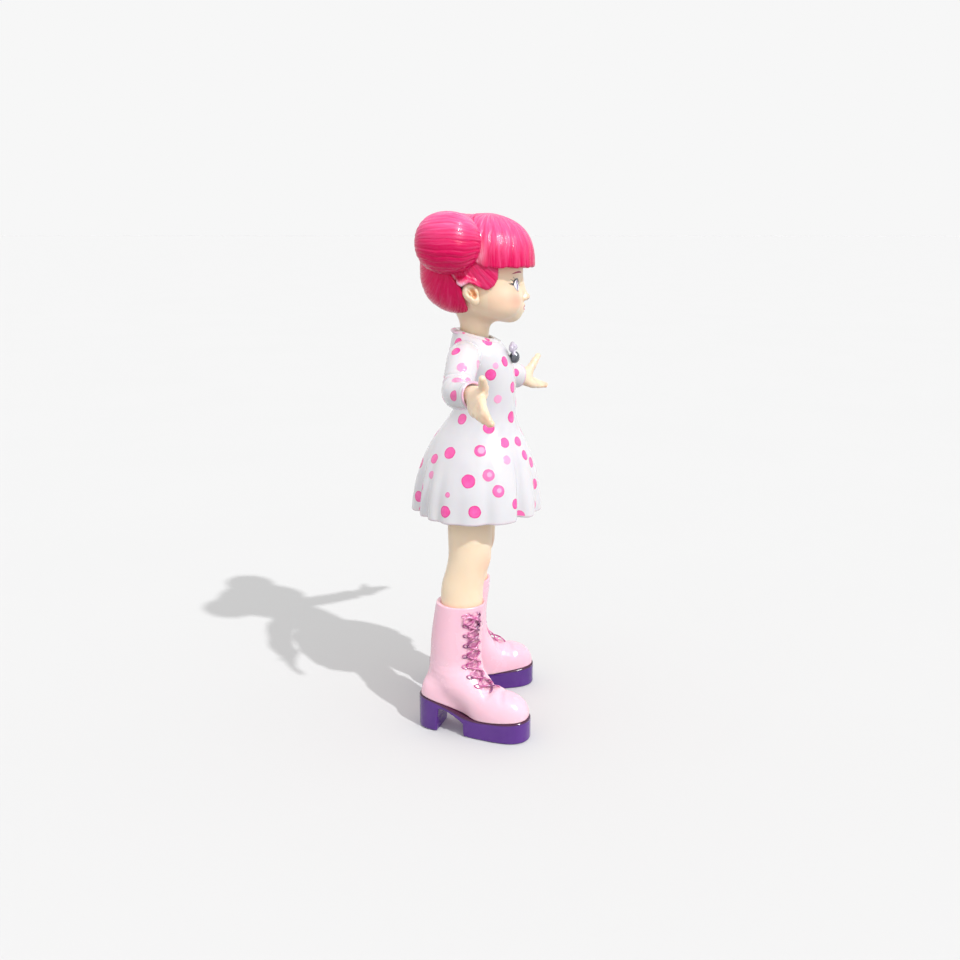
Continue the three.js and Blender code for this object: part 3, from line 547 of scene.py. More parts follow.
NECK = [  # height, x, back, front, half width
    [112.6, 0, -5.5, 2.5, 4.3], [118, 0, -5.6, 2.6, 4.3], [121, 0, -6.0, 3.2, 4.6], [125, 0, -7.4, 5.5, 6.0],
]
FACE = [
    (blend, 3.0, ball, (0, 2.4, 128.3), (10.5, 9.8, 7.4)),  # jaw
    (blend, 2.6, ball, (4.9, 6.6, 126.4), (4.7, 4.9, 4.2)),  # cheek
    (blend, 2.4, ball, (0, 8.8, 123.2), (3.4, 3.1, 2.4)),  # chin
    (blend, 1.6, ball, (0, 10.9, 125.3), (3.2, 1.7, 2.0)),  # round the mouth
    (blend, 2.2, level, NECK),
    (carve, 1.6, ball, (4.9, 13.6, 131.3), (3.3, 2.9, 2.5)),  # eye socket
    (blend, 0.7, ball, (4.95, 8.3, 131.2), (3.0, 2.75, 2.25)),  # eyeball
    (blend, 1.5, rod, (0, 11.2, 132.2), (0, 12.8, 128.6), 0.75, 0.85),  # bridge of the nose
    (blend, 0.7, ball, (0, 13.2, 128.0), (1.05, 1.1, 0.95)),  # its tip
    (blend, 0.5, ball, (0.95, 12.7, 127.6), (0.6, 0.75, 0.6)),  # its side
    (carve, 0.2, ball, (0.5, 13.1, 127.0), (0.25, 0.35, 0.2)),  # nostril
    (blend, 0.6, rod, (0, 12.25, 125.5), (1.5, 11.75, 125.3), 0.55, 0.25),  # upper lip
    (blend, 0.6, rod, (0, 12.05, 124.35), (1.2, 11.75, 124.55), 0.62, 0.3),  # lower lip
    (carve, 0.25, rod, (0, 12.95, 124.98), (1.9, 12.2, 125.1), 0.16, 0.08),  # between them
    (blend, 0.7, ear),
]


def head(p):
    q = mirrored(p)
    return mould(q, ball(q, (0, 0.2, 135.6), (11.8, 12.1, 12.6)), FACE)


points, faces, _ = skin(head, (-14.5, -14, 112.4), (14.5, 16, 149.6), step=0.26)
side, forward, up = np.abs(points[:, 0]), points[:, 1], points[:, 2]
cheek = bell(side, 7.6, 2.6) * bell(up, 127.6, 2.2) * (forward > 3)
nose_tip = bell(side, 0, 1.6) * bell(up, 128.0, 1.2) * (forward > 12)
inner_ear = smooth(1.9, 0.6, np.hypot((forward + 1.1) / 0.85, (up - 129.4) / 1.2))
inner_ear *= smooth(11.7, 12.2, side) * smooth(13.35, 12.8, side)
make("face", points, faces, SKIN, "head", ["face_shell"],
     fields={"blush": 0.5 * cheek + 0.2 * nose_tip, "shade": 0.85 * inner_ear})


def on_head(xz, lift):
    """Points on the front of the head at the given x and z, lifted off it."""
    x, f, z = xz[:, 0], np.full(len(xz), 18.0), xz[:, 1]
    for _ in range(60):
        f = f - np.clip(head(np.column_stack([x, f, z])), -0.5, 0.5) * 0.8
    p = np.column_stack([x, f, z])
    return p + unit(gradient(head, p)) * lift


def strip(x, lower, upper, steps=14):
    """A grid of x, z points between two curves, and its quads; x may be one line or a line for each curve."""
    low_x, high_x = np.broadcast_to(x, (2, len(lower)))
    low, high = np.column_stack([low_x, lower]), np.column_stack([high_x, upper])
    t = np.linspace(0, 1, steps)[:, None, None]
    return (low[None] * (1 - t) + high[None] * t).reshape(-1, 2), grid_faces(steps, len(lower), wrap=False)


# An eye: its middle, half width, and how far its lids arch up and down.
EYE = {"x": 5.0, "z": 131.25, "half": 2.5, "rise": 1.75, "drop": 1.45}
EYE_PAINTS = [EYE_WHITE, IRIS, IRIS_RIM, INK, BROW]
WHITE_PAINT, IRIS_PAINT, RIM_PAINT, INK_PAINT, BROW_PAINT = range(5)
DISCS = ((1.5, 0.022, RIM_PAINT), (1.28, 0.03, IRIS_PAINT), (0.72, 0.038, INK_PAINT))  # radius, lift
GLINTS = ((0.45, 0.75, 0.34), (-0.5, -0.45, 0.18))  # place and radius
LASHES = ((1.5, 0.75, 1.0), (2.05, 0.95, 0.75), (2.45, 1.05, 0.35))  # where each starts, and how far it goes


def lid(x, upper):
    """The height of a lid over the eye's middle, at x from it; the outer corner sits higher."""
    t = np.clip(np.abs(x / EYE["half"]), 0, 1)
    arch = (1 - t**2.3) ** 0.75
    return 0.1 * x + (EYE["rise"] if upper else -EYE["drop"]) * arch


def eye_layers(sign):
    """The paints of one eye and its brow, each a thin sheet lifted a little further off the head."""
    layers = []
    half = EYE["half"]

    def put(grid, faces, lift, paint):
        at = np.column_stack([sign * (grid[:, 0] + EYE["x"]), grid[:, 1] + EYE["z"]])
        layers.append((on_head(at, lift), faces, paint))

    x = np.linspace(-half, half, 41)
    put(*strip(x, lid(x, False), lid(x, True)), 0.012, WHITE_PAINT)
    angle = circle(48)
    for radius, lift, paint in DISCS:
        rings = []
        for r in np.linspace(0.02, 1, 9) * radius:
            across, up = r * np.cos(angle) - 0.1, r * np.sin(angle) * 1.12 + 0.12
            rings.append(np.column_stack([across, np.clip(up, lid(across, False), lid(across, True))]))
        put(np.vstack(rings), grid_faces(len(rings), len(angle)), lift, paint)
    for cx, cz, radius in GLINTS:
        rings = [np.column_stack([cx + r * np.cos(angle), cz + r * np.sin(angle)])
                 for r in np.linspace(0.05, 1, 4) * radius]
        put(np.vstack(rings), grid_faces(len(rings), len(angle)), 0.046, WHITE_PAINT)

    # The upper lash line runs out past the corner in a wing, and a thin line edges the lower lid.
    tip = half + 0.75
    wing = np.linspace(-half - 0.05, tip, 41)
    base = np.where(wing > half, 0.25 + (wing - half) * 0.55, lid(wing, True))
    thick = 0.16 + 0.34 * smooth(-half, 1.6, wing) - 0.46 * smooth(1.9, tip, wing)
    put(*strip(wing, base - 0.05, base + thick, 6), 0.05, INK_PAINT)
    low = np.linspace(-1.4, half, 25)
    put(*strip(low, lid(low, False) - 0.1, lid(low, False) + 0.02, 4), 0.04, INK_PAINT)
    t = np.linspace(0, 1, 10)
    for start, out, rise in LASHES:
        x, z = start + out * t, lid(np.array([start]), True) + 0.25 + rise * t**0.8 * (1.1 - 0.2 * t)
        width = 0.17 * (1 - t) + 0.02
        put(*strip([x - 0.3 * width, x + 0.3 * width], z - width, z + width, 4), 0.052, INK_PAINT)
    t = np.linspace(0, 1, 31)
    z = 3.35 + 0.75 * np.sin(np.pi * (0.15 + 0.6 * t)) - 0.5 * t
    width = 0.24 * np.sin(np.pi * np.clip(0.12 + 0.88 * t, 0, 1)) ** 0.6
    put(*strip(-1.9 + 4.6 * t, z - width, z + width, 5), 0.012, BROW_PAINT)
    return layers


def outward(p, f):
    """Quads turned so that they face away from the middle of the head."""
    world = place(p)
    a, b, c = (world[f[:, i]] for i in range(3))
    back = np.einsum("ij,ij->i", np.cross(b - a, c - a), a - place([(0, 0, 130)])[0]) < 0
    return np.where(back[:, None], f[:, ::-1], f)


for name, sign in SIDES:
    p, f, index = merge(eye_layers(sign))
    make(f"eye_paint_{name}", p, outward(p, f), EYE_PAINTS, "head", slot="skin_vinyl", face_slots=index)

MOUTH_HALF, MOUTH_Z = 1.85, 125.02
x = np.linspace(-MOUTH_HALF, MOUTH_HALF, 41)
t = np.abs(x / MOUTH_HALF)
seam = MOUTH_Z + 0.12 * t**2
top = seam + (0.62 - 0.12 * bell(x, 0, 0.35)) * (1 - t**2.2) ** 0.7
bottom = seam - 0.85 * (1 - t**2.4) ** 0.8
p, f, _ = merge([(on_head(g, 0.012), q, 0) for g, q in (strip(x, bottom, seam), strip(x, seam, top))])
make("lip_paint", p, outward(p, f), LIP, "head", slot="skin_vinyl")

# ---------------------------------------------------------------- hair
PARTING = -1.2  # where the front hair ends, near the top of the head
WHORL = 3.2  # how far forward the front hair starts from
BUN_AT = (14.4, -7.7, 143.1)
BUN_TILT = 0.1
BUN_RADII = (8.35, 9.05, 8.35)


def crown(p):
    return ball(p, (0, -0.65, 137.0), (14.0, 16.25, 14.0), 2.5)


def hair_relief(u, v, seed, coarse, fine, pitch):
    """Height and groove depth of moulded locks and strands: u runs across them and v along them."""
    w = u + 0.8 * wobble(v * 0.2, seed) + 0.55 * wobble(u * 0.5, seed + 2)
    lock = ridges(w / pitch, 0.8)
    strength = 0.65 + 0.4 * wobble(u * 0.45 + v * 0.1, seed + 8)
    strand = ridges(w / 0.92 + 0.35 * wobble(v * 0.4 + u, seed + 5), 1.0)
    strand *= 0.6 + 0.4 * wobble(u * 1.3 - v * 0.15, seed + 9)
    return coarse * strength * (lock - 0.8) + fine * (strand - 0.5), np.minimum(lock * 1.5, 0.5 + strand)


def make_hair(name, p, f, across, along, groove, painted_light, painted_sheen=0.0):
    """A piece of hair, with painted light from shaded deep red (0) to lit light pink (1), and a share of
    painted white sheen.
    """
    values = {"strand": across, "along": along, "groove": groove, "painted_light": painted_light, "painted_sheen": painted_sheen}
    fields = {key: np.broadcast_to(value, len(p)) for key, value in values.items()}
    make(name, p, f, HAIR, "head", [name], fields=fields)


def front_hair(p):
    """Crown and bangs: full at the bottom edge, which rises towards the bun behind the temple."""
    azimuth = np.arctan2(np.abs(p[:, 0]), p[:, 1] - WHORL)
    scallop = 0.28 * np.abs(np.sin(azimuth * 8.0)) + 0.12 * wobble(azimuth * 17, 3)
    edge = 136.6 + 0.55 * np.clip(2.6 - p[:, 1], 0, 9) - scallop
    d = carve(crown(p), p[:, 2] - edge, 0.7)
    d = carve(d, head(p) - 0.15, 0.2)
    return carve(d, p[:, 1] - PARTING, 0.15)


p, f, n = skin(front_hair, (-14.8, -1.8, 135), (14.8, 16.4, 151.8), step=0.22)
r = np.hypot(p[:, 0], p[:, 1] - WHORL)
across = np.arctan2(p[:, 0], p[:, 1] - WHORL) * 12.5
fall = r + np.clip(150 - p[:, 2], 0, 20)
outer = smooth(-0.6, -0.25, crown(p))
height, groove = hair_relief(across, fall, 1.0, coarse=0.27, fine=0.06, pitch=2.7)
fade = smooth(0.5, 6.0, r) * outer
whorl = 0.28 * bell(r, 0, 3.0) * outer
p = p + n * (height * fade + whorl)[:, None]
# Painted light: the front hair is lighter towards the top, and a painted highlight lies on each side above
# the temple.
painted_light = smooth(136.5, 149.5, p[:, 2]) * 0.75 + 0.12
lobe = bell(p[:, 1], 0.6, 1.5) * bell(p[:, 2], 140.5, 3.0) * (np.abs(p[:, 0]) > 10)
make_hair("hair_front", p, f, across, fall, 1 - fade * (1 - groove), painted_light, 0.75 * lobe)


def nape(p):
    return ball(p, (0, -5.3, 134.4), (13.8, 11.3, 10.8), 2.2)


# How far forward the back hair comes, by height: behind the ear, under the bun and up to the parting.
BACK_EDGE = [[122, -1.6], [124.5, -2.5], [127, -3.3], [129, -3.7], [131, -4.4], [132.5, -5.4],
             [134, -6.6], [136, -7.0], [138, -3.0], [140, 0.6], [142, 1.0]]


def back_hair(p):
    under_bangs = 0.35 * smooth(-1.5, -1.25, p[:, 1])
    d = blend(crown(p) + under_bangs, nape(p), 1.2)
    d = carve(d, spline(BACK_EDGE, p[:, 2])[:, 0] - p[:, 1], 0.8)
    d = carve(d, head(p) - 0.1, 0.2)
    neck_room = 6 * (np.hypot(p[:, 0] / 6.2, (p[:, 1] - NECK_FORWARD) / 6.0) - 1)
    return carve(d, np.maximum(neck_room, p[:, 2] - 128), 0.5)


p, f, n = skin(back_hair, (-14.8, -18, 122.4), (14.8, 1.6, 151.8), step=0.24)
behind, above = p[:, 1] - BUN_AT[1], p[:, 2] - BUN_AT[2]
spread = np.hypot(behind, above)
across = np.arctan2(behind, -above) * 11 + 0.15 * p[:, 0]
outer = smooth(-0.6, -0.25, np.minimum(crown(p), nape(p)))
height, groove = hair_relief(across, spread, 4.0, coarse=0.15, fine=0.06, pitch=3.4)
off_middle = np.abs(p[:, 0])
fade = outer * smooth(5.5, 9.5, spread + 0.6 * (12 - off_middle).clip(0, 12)) * smooth(0.0, 1.2, off_middle)
parting_line = 0.3 * bell(p[:, 0], 0, 0.45) * outer
p = p + n * (height * fade - parting_line)[:, None]
# Painted light: the back hair is lighter towards the top.
painted_light = smooth(133, 150.5, p[:, 2]) * 0.8
make_hair("hair_back", p, f, across, spread, 1 - fade * (1 - groove), painted_light)

LOCK_OUTLINE = np.array([  # forward and up
    (5.8, 138.0), (6.0, 135.4), (5.8, 133.4), (4.9, 131.6), (3.4, 130.5), (2.4, 130.3), (1.0, 130.9),
    (-0.6, 131.8), (-2.1, 132.35), (-3.2, 131.8), (-4.1, 131.3), (-5.4, 131.9), (-6.6, 133.4), (-8.2, 135.6),
    (-8.0, 141.5), (0.0, 141.5),
])
LOCK_ROOT = (-9.0, 147.0)  # the strands of the side locks fan out from here


def side_lock(p, sign):
    shape = outline_distance(p[:, 1], p[:, 2], LOCK_OUTLINE) + 0.1
    h = head(p)
    thick = 1.35 + 0.08 * (p[:, 2] - 133) + 0.3 * np.clip(-1.5 - p[:, 1], 0, 6)
    slab = np.maximum(h - thick, -(h + 0.3))
    return carve(np.maximum(slab, 6 - p[:, 0] * sign), -shape, 0.9)


def make_side_lock(name, sign):
    left, right = (9.0, 15.6) if sign > 0 else (-15.6, -9.0)
    p, f, n = skin(lambda q: side_lock(q, sign), (left, -9, 129.4), (right, 7.2, 142.4), step=0.18)
    df, dz = p[:, 1] - LOCK_ROOT[0], p[:, 2] - LOCK_ROOT[1]
    across, along = np.arctan2(dz, df) * 20, np.hypot(df, dz)
    height, groove = hair_relief(across, along, 7.0, coarse=0.16, fine=0.08, pitch=2.2)
    fade = smooth(0.5, 1.1, head(p))
    p = p + n * (height * fade)[:, None]
    edge = -outline_distance(p[:, 1], p[:, 2], LOCK_OUTLINE)
    # Painted highlight: a pale band along the lock's rear edge, and a pale lower back end.
    sheen_rim = smooth(1.3, 0.3, edge) * smooth(-2.2, -4.0, p[:, 1])
    sheen_end = 0.5 * smooth(-0.5, -4, p[:, 1]) * smooth(134, 132, p[:, 2])
    make_hair(name, p, f, across, along, 1 - fade * (1 - groove), 0.25, sheen_rim + sheen_end)


def make_bun(name, sign):
    """A ball of hair wound nearly level, a little boxy, and tilted outwards."""
    lat = np.linspace(-np.pi / 2, np.pi / 2, 190)[1:-1, None]
    lon = circle(360)[None]
    lat, lon = np.broadcast_arrays(lat, lon)
    direction = np.stack([np.cos(lat) * np.cos(lon), np.cos(lat) * np.sin(lon), np.sin(lat)], -1)
    boxy = 2.15
    size = (np.abs(direction) ** boxy).sum(-1) ** (-1 / boxy)
    belt = np.clip(direction[..., 2] / np.sqrt(1 - 0.72 * direction[..., 1] ** 2), -1, 1)
    wind = 8.6 * np.arcsin(belt) + 0.5 * wobble(lon * 1.5, 2) + 0.42 * direction[..., 1]
    along = lon * 8
    height, groove = hair_relief(wind, along, 11.0, coarse=0.2, fine=0.055, pitch=2.3)
    height = height * smooth(0, 0.4, np.cos(lat))
    surface = direction * size[..., None] * (np.array(BUN_RADII) + height[..., None])
    x, forward, up = np.moveaxis(surface, -1, 0)
    c, s = math.cos(sign * BUN_TILT), math.sin(sign * BUN_TILT)
    turned = np.stack([x * c - up * s, forward, x * s + up * c], -1)
    p, f = capped(list(turned + np.array(BUN_AT) * (sign, 1, 1)))
    # Painted light: the bun is lighter on top and deeper red underneath.
    painted_light = 0.02 + 0.95 * smooth(-0.35, 0.85, direction[..., 2])
    # The two rings that close the ends take the values of the rings beside them.
    fields = [np.concatenate([v[0], v.ravel(), v[-1]]) for v in (wind, along, groove, painted_light)]
    make_hair(name, p, f, *fields)


for name, sign in SIDES:
    make_side_lock(f"side_lock_{name}", sign)
    make_bun(f"bun_{name}", sign)

# ---------------------------------------------------------------- dress
HEM_Z = 65.0
DRESS_ROWS = [  # height, back, front, half width
    [65, -21.2, 18.7, 20.3], [69, -20.6, 18.3, 19.7], [73.5, -19.6, 17.5, 18.8], [78, -18.2, 16.5, 17.4],
    [82.5, -16.3, 15.1, 15.6], [86.5, -14.0, 13.3, 13.4], [90, -11.5, 11.7, 11.6], [93.5, -8.9, 10.8, 10.4],
    [97.5, -7.2, 10.6, 9.7], [102, -7.1, 10.5, 9.9], [106, -7.9, 10.1, 10.5], [110, -8.6, 9.1, 10.9],
    [113, -8.8, 7.7, 10.6], [115.5, -8.4, 5.9, 9.2], [117.6, -7.8, 4.8, 7.6], [119.2, -7.2, 4.2, 6.6],
]
FOLDS = [  # degrees round from the front towards the right side, depth at the hem, half angle, top height
    (40, 3.6, 5.5, 90), (156, 3.2, 7.0, 88), (138, 1.8, 5, 87), (121, 1.2, 5, 85), (101, 0.6, 6, 83),
    (76, 1.3, 6, 86), (14, 1.8, 7, 87), (-16, 1.5, 7, 85), (-43, 3.4, 6, 89), (-78, 1.0, 7, 84),
    (-108, 2.4, 8, 87), (-148, 3.0, 8, 88), (182, 1.6, 7, 86),
]
WALL, HEM_ROLL = 1.3, 0.6
DOTS = [  # angle as for the folds, height, radius, thinness of the ink, radius of a painted glint in its middle
    (125, 93.8, 1.6, 0.1, 0), (75, 91.7, 1.7, 0.05, 0), (52, 87.4, 1.55, 0.1, 0), (84, 85.7, 1.75, 0.1, 1.0),
    (120, 84.7, 1.8, 0.05, 0), (140, 82.3, 1.5, 0.15, 0), (94, 77.7, 2, 0, 0), (75, 79.2, 1.75, 0.25, 0.7),
    (66, 74.8, 1.8, 0.15, 0.7), (113, 68.8, 1.7, 0, 0), (87, 69.3, 1.8, 0, 0), (49, 70.5, 1.5, 0, 0),
    (112, 73.6, 0.8, 0.3, 0), (150, 73.6, 1.5, 0, 0), (160, 69.9, 1.7, 0.1, 0), (28, 87.0, 1.5, 0.1, 0),
    (24, 83.0, 1.5, 0, 0), (12, 80.2, 1.6, 0, 0), (12, 73.8, 1.6, 0, 0), (17, 67.6, 1.6, 0.2, 0.6),
    (38, 65.9, 1.7, 0.1, 0), (54, 82.9, 1.3, 0.7, 0), (137, 77.9, 1.2, 0.5, 0), (31, 94.0, 1.7, 0, 0),
    (26, 102.6, 1.6, 0, 0), (36, 110.3, 1.5, 0, 0), (72, 106.9, 1.6, 0, 0), (56, 116.2, 1.6, 0.1, 0),
    (59, 109.4, 0.9, 0.8, 0), (64, 99.8, 1.2, 0.7, 0), (178, 88, 1.7, 0, 0), (170, 79.5, 1.8, 0, 0),
    (-172, 71, 1.8, 0, 0), (150, 100.5, 1.6, 0, 0), (-160, 106, 1.7, 0, 0), (172, 112, 1.7, 0, 0),
    (-150, 92, 1.6, 0.1, 0), (-140, 82, 1.8, 0, 0.7), (-150, 75.5, 1.6, 0, 0), (-125, 70, 1.8, 0, 0),
    (-118, 78.5, 1.8, 0, 0), (-120, 89, 1.6, 0.1, 0), (-100, 84, 1.8, 0, 0), (-92, 72.5, 1.9, 0, 0.7),
    (-84, 92, 1.6, 0, 0), (-72, 79, 1.8, 0, 0), (-66, 69, 1.8, 0, 0), (-60, 87.5, 1.7, 0.1, 0),
    (-38, 76.5, 1.8, 0, 0), (-30, 84.5, 1.7, 0, 0), (-34, 68, 1.7, 0, 0), (-8, 77, 1.7, 0, 0.7),
    (-10, 69.5, 1.7, 0, 0), (-6, 88.5, 1.6, 0, 0), (-36, 93.5, 1.6, 0, 0), (0, 97.5, 1.6, 0, 0),
    (-32, 101.5, 1.6, 0, 0), (-14, 107.5, 1.6, 0, 0), (-48, 108.5, 1.5, 0, 0), (8, 106, 1.0, 0.6, 0),
    (-110, 96, 1.6, 0, 0), (-178, 96.5, 1.6, 0, 0), (130, 107, 1.3, 0.2, 0), (-130, 113.5, 1.6, 0, 0),
    (-64, 115.5, 1.5, 0, 0), (128, 115.5, 1.5, 0, 0), (155, 65.8, 1.6, 0, 0), (-105, 65.6, 1.7, 0, 0),
]
NO_PRINT = 9.0  # a distance far outside any printed dot


def folds(theta, z):
    """How far the skirt's folds push its wall in: each is a wide hollow with a sharper one in its middle."""
    depth = 0
    for middle_angle, deep, half, top in FOLDS:
        a = (np.degrees(theta) - middle_angle + 180) % 360 - 180
        fall = np.clip((top - z) / (top - HEM_Z), 0, 1.1)
        depth = depth + deep * fall**1.2 * (0.75 * bell(a, 0, half) + 0.25 * bell(a, 0, 3 * half))
    return depth


def dress_surface(theta, z, inset=0.0):
    """The dress's outside at an angle round from the front towards the right side, and a height."""
    row = spline(DRESS_ROWS, z)
    middle, deep, half = (row[..., 0] + row[..., 1]) / 2, (row[..., 1] - row[..., 0]) / 2, row[..., 2]
    c, s = np.cos(theta), np.sin(theta)
    power = 2.0 + 0.25 * smooth(92, 100, z)
    size = (np.abs(c) ** power + np.abs(s) ** power) ** (-1 / power)
    wrinkle = 0.1 * wobble(theta * 5 + z * 0.3, 3) * smooth(101, 95, z) * smooth(88, 92, z)
    inward = folds(theta, z) + inset - 0.35 * smooth(88, 70, z) + wrinkle
    x, forward = (inward - half * size) * s, middle + (deep * size - inward) * c
    return np.stack(np.broadcast_arrays(x, forward, z), -1)


def neckline(forward):
    """The height of the neck's opening, which slopes down to the front."""
    return 116.75 - 0.268 * forward


def printed(points, dots):
    """Distance to the nearest dot's edge, and how pale its ink is from thin ink and a painted glint. A dot is
    (point, radius, thinness of the ink, radius of the painted glint).
    """
    best = np.full(len(points), NO_PRINT)
    thin = np.zeros(len(points))
    for centre, radius, thin_ink_and_glint, glint_radius in dots:
        d = np.linalg.norm(points - centre, axis=1) - radius
        # A painted glint: a pale spot just above and forward of the dot's middle.
        if glint_radius:
            glint = np.linalg.norm(points - centre - np.array([0, 0.25, 0.2]), axis=1)
            thin_ink_and_glint = thin_ink_and_glint + (0.85 - thin_ink_and_glint) * smooth(glint_radius + 0.12, glint_radius - 0.12, glint)
        thin = np.where(d < np.minimum(best, 1.2), thin_ink_and_glint, thin)
        best = np.minimum(best, d)
    return best, thin


def make_dress():
    theta = circle(440)
    top_z = np.full(len(theta), 117.0)
    for _ in range(12):
        top_z = 0.5 * top_z + 0.5 * neckline(dress_surface(theta, np.minimum(top_z, DRESS_ROWS[-1][0]))[:, 1])
    hem = HEM_Z + 0.12 * folds(theta, np.full(len(theta), HEM_Z)) + HEM_ROLL
    outside = [dress_surface(theta, top_z + (hem - top_z) * t) for t in np.linspace(0, 1, 230)]
    roll = [dress_surface(theta, hem - HEM_ROLL * math.sin(a), WALL / 2 * (1 - math.cos(a)))
            for a in np.linspace(0, np.pi, 9)[1:]]
    inside = [dress_surface(theta, np.full(len(theta), z), WALL) for z in np.linspace(66.5, 89.2, 46)]

    # The opening at the neck: a short way down inside it, then over the rim to the outside.
    opening = []
    rim = 5.3
    hole = np.column_stack([-rim * np.sin(theta), NECK_FORWARD + rim * np.cos(theta)])
    for share, drop in ((0.0, 3.2), (0.0, 0.2), (0.35, 0.12), (0.8, 0.05)):
        level_ring = hole * (1 - share) + outside[0][:, :2] * share
        opening.append(np.column_stack([level_ring, neckline(level_ring[:, 1]) - drop]))
    rows = opening + outside + roll + inside
    p, f = capped(rows)
    dots = [(dress_surface(np.radians([a]), np.array([z]))[0], r, thin, glint_radius) for a, z, r, thin, glint_radius in DOTS]
    ink, thin = printed(p, dots)
    ring = np.repeat(np.arange(len(rows) + 2), len(theta))
    ink = np.where((ring >= len(opening)) & (ring < len(opening) + 1 + len(outside)), ink, NO_PRINT)
    hem_line = smooth(1.2, 0.2, p[:, 2] - HEM_Z) * 0.25
    outwards = unit(np.column_stack([p[:, 0], p[:, 1] + 0.5, np.zeros(len(p))]))
    p = p + outwards * (0.05 * smooth(0.1, -0.15, ink))[:, None]
    make("dress", p, f, DRESS, "torso", ["dress_shell"],
         fields={"print": ink, "thin": thin, "crease": hem_line})


make_dress()

# ---------------------------------------------------------------- collar, bow and charm
COLLAR_INNER, COLLAR_OUTER, COLLAR_THICK = 4.9, 7.5, 0.62
COLLAR_DOTS = ((58, 1.1), (118, 0.9), (160, 1.0), (-40, 1.0), (-95, 1.0), (-150, 1.0))  # degrees and radius
COLLAR_DOTS_AT = 6.9


def make_collar():
    """A flat band round the neckline, narrower at the front, as a loop of rings."""
    phi = circle(260)
    from_front = np.abs((phi + np.pi) % (2 * np.pi) - np.pi)
    opening = 0.45 + 0.55 * smooth(0.05, 0.4, from_front)
    rows = []
    for t in circle(24):
        c, s = math.cos(t), math.sin(t)
        over = (COLLAR_OUTER - COLLAR_INNER) * opening * (0.5 - 0.5 * math.copysign(abs(c) ** 0.8, c))
        out = COLLAR_INNER + over
        forward = NECK_FORWARD - 0.1 + out * np.cos(phi)
        thick = COLLAR_THICK * math.copysign(abs(s) ** 0.85, s) * (0.5 + 0.5 * opening)
        up = neckline(forward) + 0.05 - 0.1 * over**2 + thick + 0.05 * wobble(phi * 5, 4)
        rows.append(np.column_stack([-out * np.sin(phi), forward, up]))
    p = np.vstack(rows)
    f = grid_faces(len(rows) + 1, len(phi)) % len(p)
    dots = []
    for degrees, radius in COLLAR_DOTS:
        a = math.radians(degrees)
        forward = NECK_FORWARD + COLLAR_DOTS_AT * math.cos(a)
        at = np.array([-COLLAR_DOTS_AT * math.sin(a), forward, neckline(forward) + 1.0])
        dots.append((at, radius, 0.15, 0))
    ink, thin = printed(p, dots)
    crease = 0.5 * smooth(6.9, 7.4, np.hypot(p[:, 0], p[:, 1] - NECK_FORWARD))
    make("collar", p, f, DRESS, "torso", ["collar"], fields={"print": ink, "thin": thin, "crease": crease})


make_collar()

BOW_Z = 113.6
CHARM_AT = np.array([0, 10.1, 110.7])


def bow(p):
    q = mirrored(p)
    return mould(q, ball(q, (2.0, 9.35, BOW_Z), (1.65, 0.85, 1.3)), [
        (blend, 0.4, ball, (1.1, 9.5, 113.5), (0.9, 0.7, 0.7)),  # the loop's inner end
        (carve, 0.3, ball, (2.1, 10.4, BOW_Z), (0.9, 0.5, 0.6)),  # the loop's hollow
        (blend, 0.3, rod, (0.4, 9.7, 113.1), (1.3, 9.9, 111.9), 0.45, 0.55),  # tail
        (blend, 0.25, ball, (0, 9.8, BOW_Z), (0.85, 1.05, 0.95)),  # knot
    ])


p, f, n = skin(bow, (-4.2, 7.6, 111), (4.2, 11.6, 115.6), step=0.12)
pleats = ridges(np.arctan2(p[:, 2] - BOW_Z, np.abs(p[:, 0])) * 3)
make("chest_bow", p + 0.06 * n * pleats[:, None], f, PEARL, "torso", ["chest_bow"])

p, f, n = skin(lambda q: ball(q - CHARM_AT, (0, 0, 0), (1.75, 1.45, 1.75), 2.3),
               (-2.2, 8.2, 108.5), (2.2, 12, 112.9), step=0.1)
stripes = ridges((p[:, 2] + 0.35 * p[:, 0]) / 0.62, 0.8)
from_middle = np.hypot(p[:, 0], p[:, 2] - CHARM_AT[2])
relief = 0.16 * (stripes - 0.8) * (from_middle < 1.2) - 0.14 * bell(from_middle, 1.25, 0.12)
make("chest_charm", p + n * relief[:, None], f, SILVER, "torso", ["chest_charm"])

# ---------------------------------------------------------------- legs and hips
LEG_ROWS = [  # height, x, back, front, half width
    [36.0, 11.05, -10.8, 1.4, 5.85], [39, 10.9, -10.85, 1.55, 5.85], [44.5, 10.45, -10.6, 1.8, 5.75],
    [48.5, 10.1, -9.5, 2.7, 5.65], [52.5, 9.75, -8.7, 3.6, 5.65], [57, 9.35, -8.7, 4.1, 5.75],
    [61, 9.0, -8.85, 4.15, 5.8], [70, 8.1, -8.8, 4.2, 5.7], [79, 7.2, -8.5, 4.1, 5.5],
]
HIP_ROWS = [  # height, back, front, half width
    (79.4, -8.2, 4.2, 11.4), (79.9, -8.6, 4.6, 11.8), (82, -9.3, 5.6, 11.2),
    (86, -9.4, 7.4, 9.8), (88.6, -7.9, 7.9, 8.8), (89.1, -7.2, 7.3, 8.2),
]
KNEE_Z, BOOT_RIM_Z = 51.5, 40.5
around = circle(120)
kneecap = bell(around, 0, 0.75) + bell(around, 2 * np.pi, 0.75)

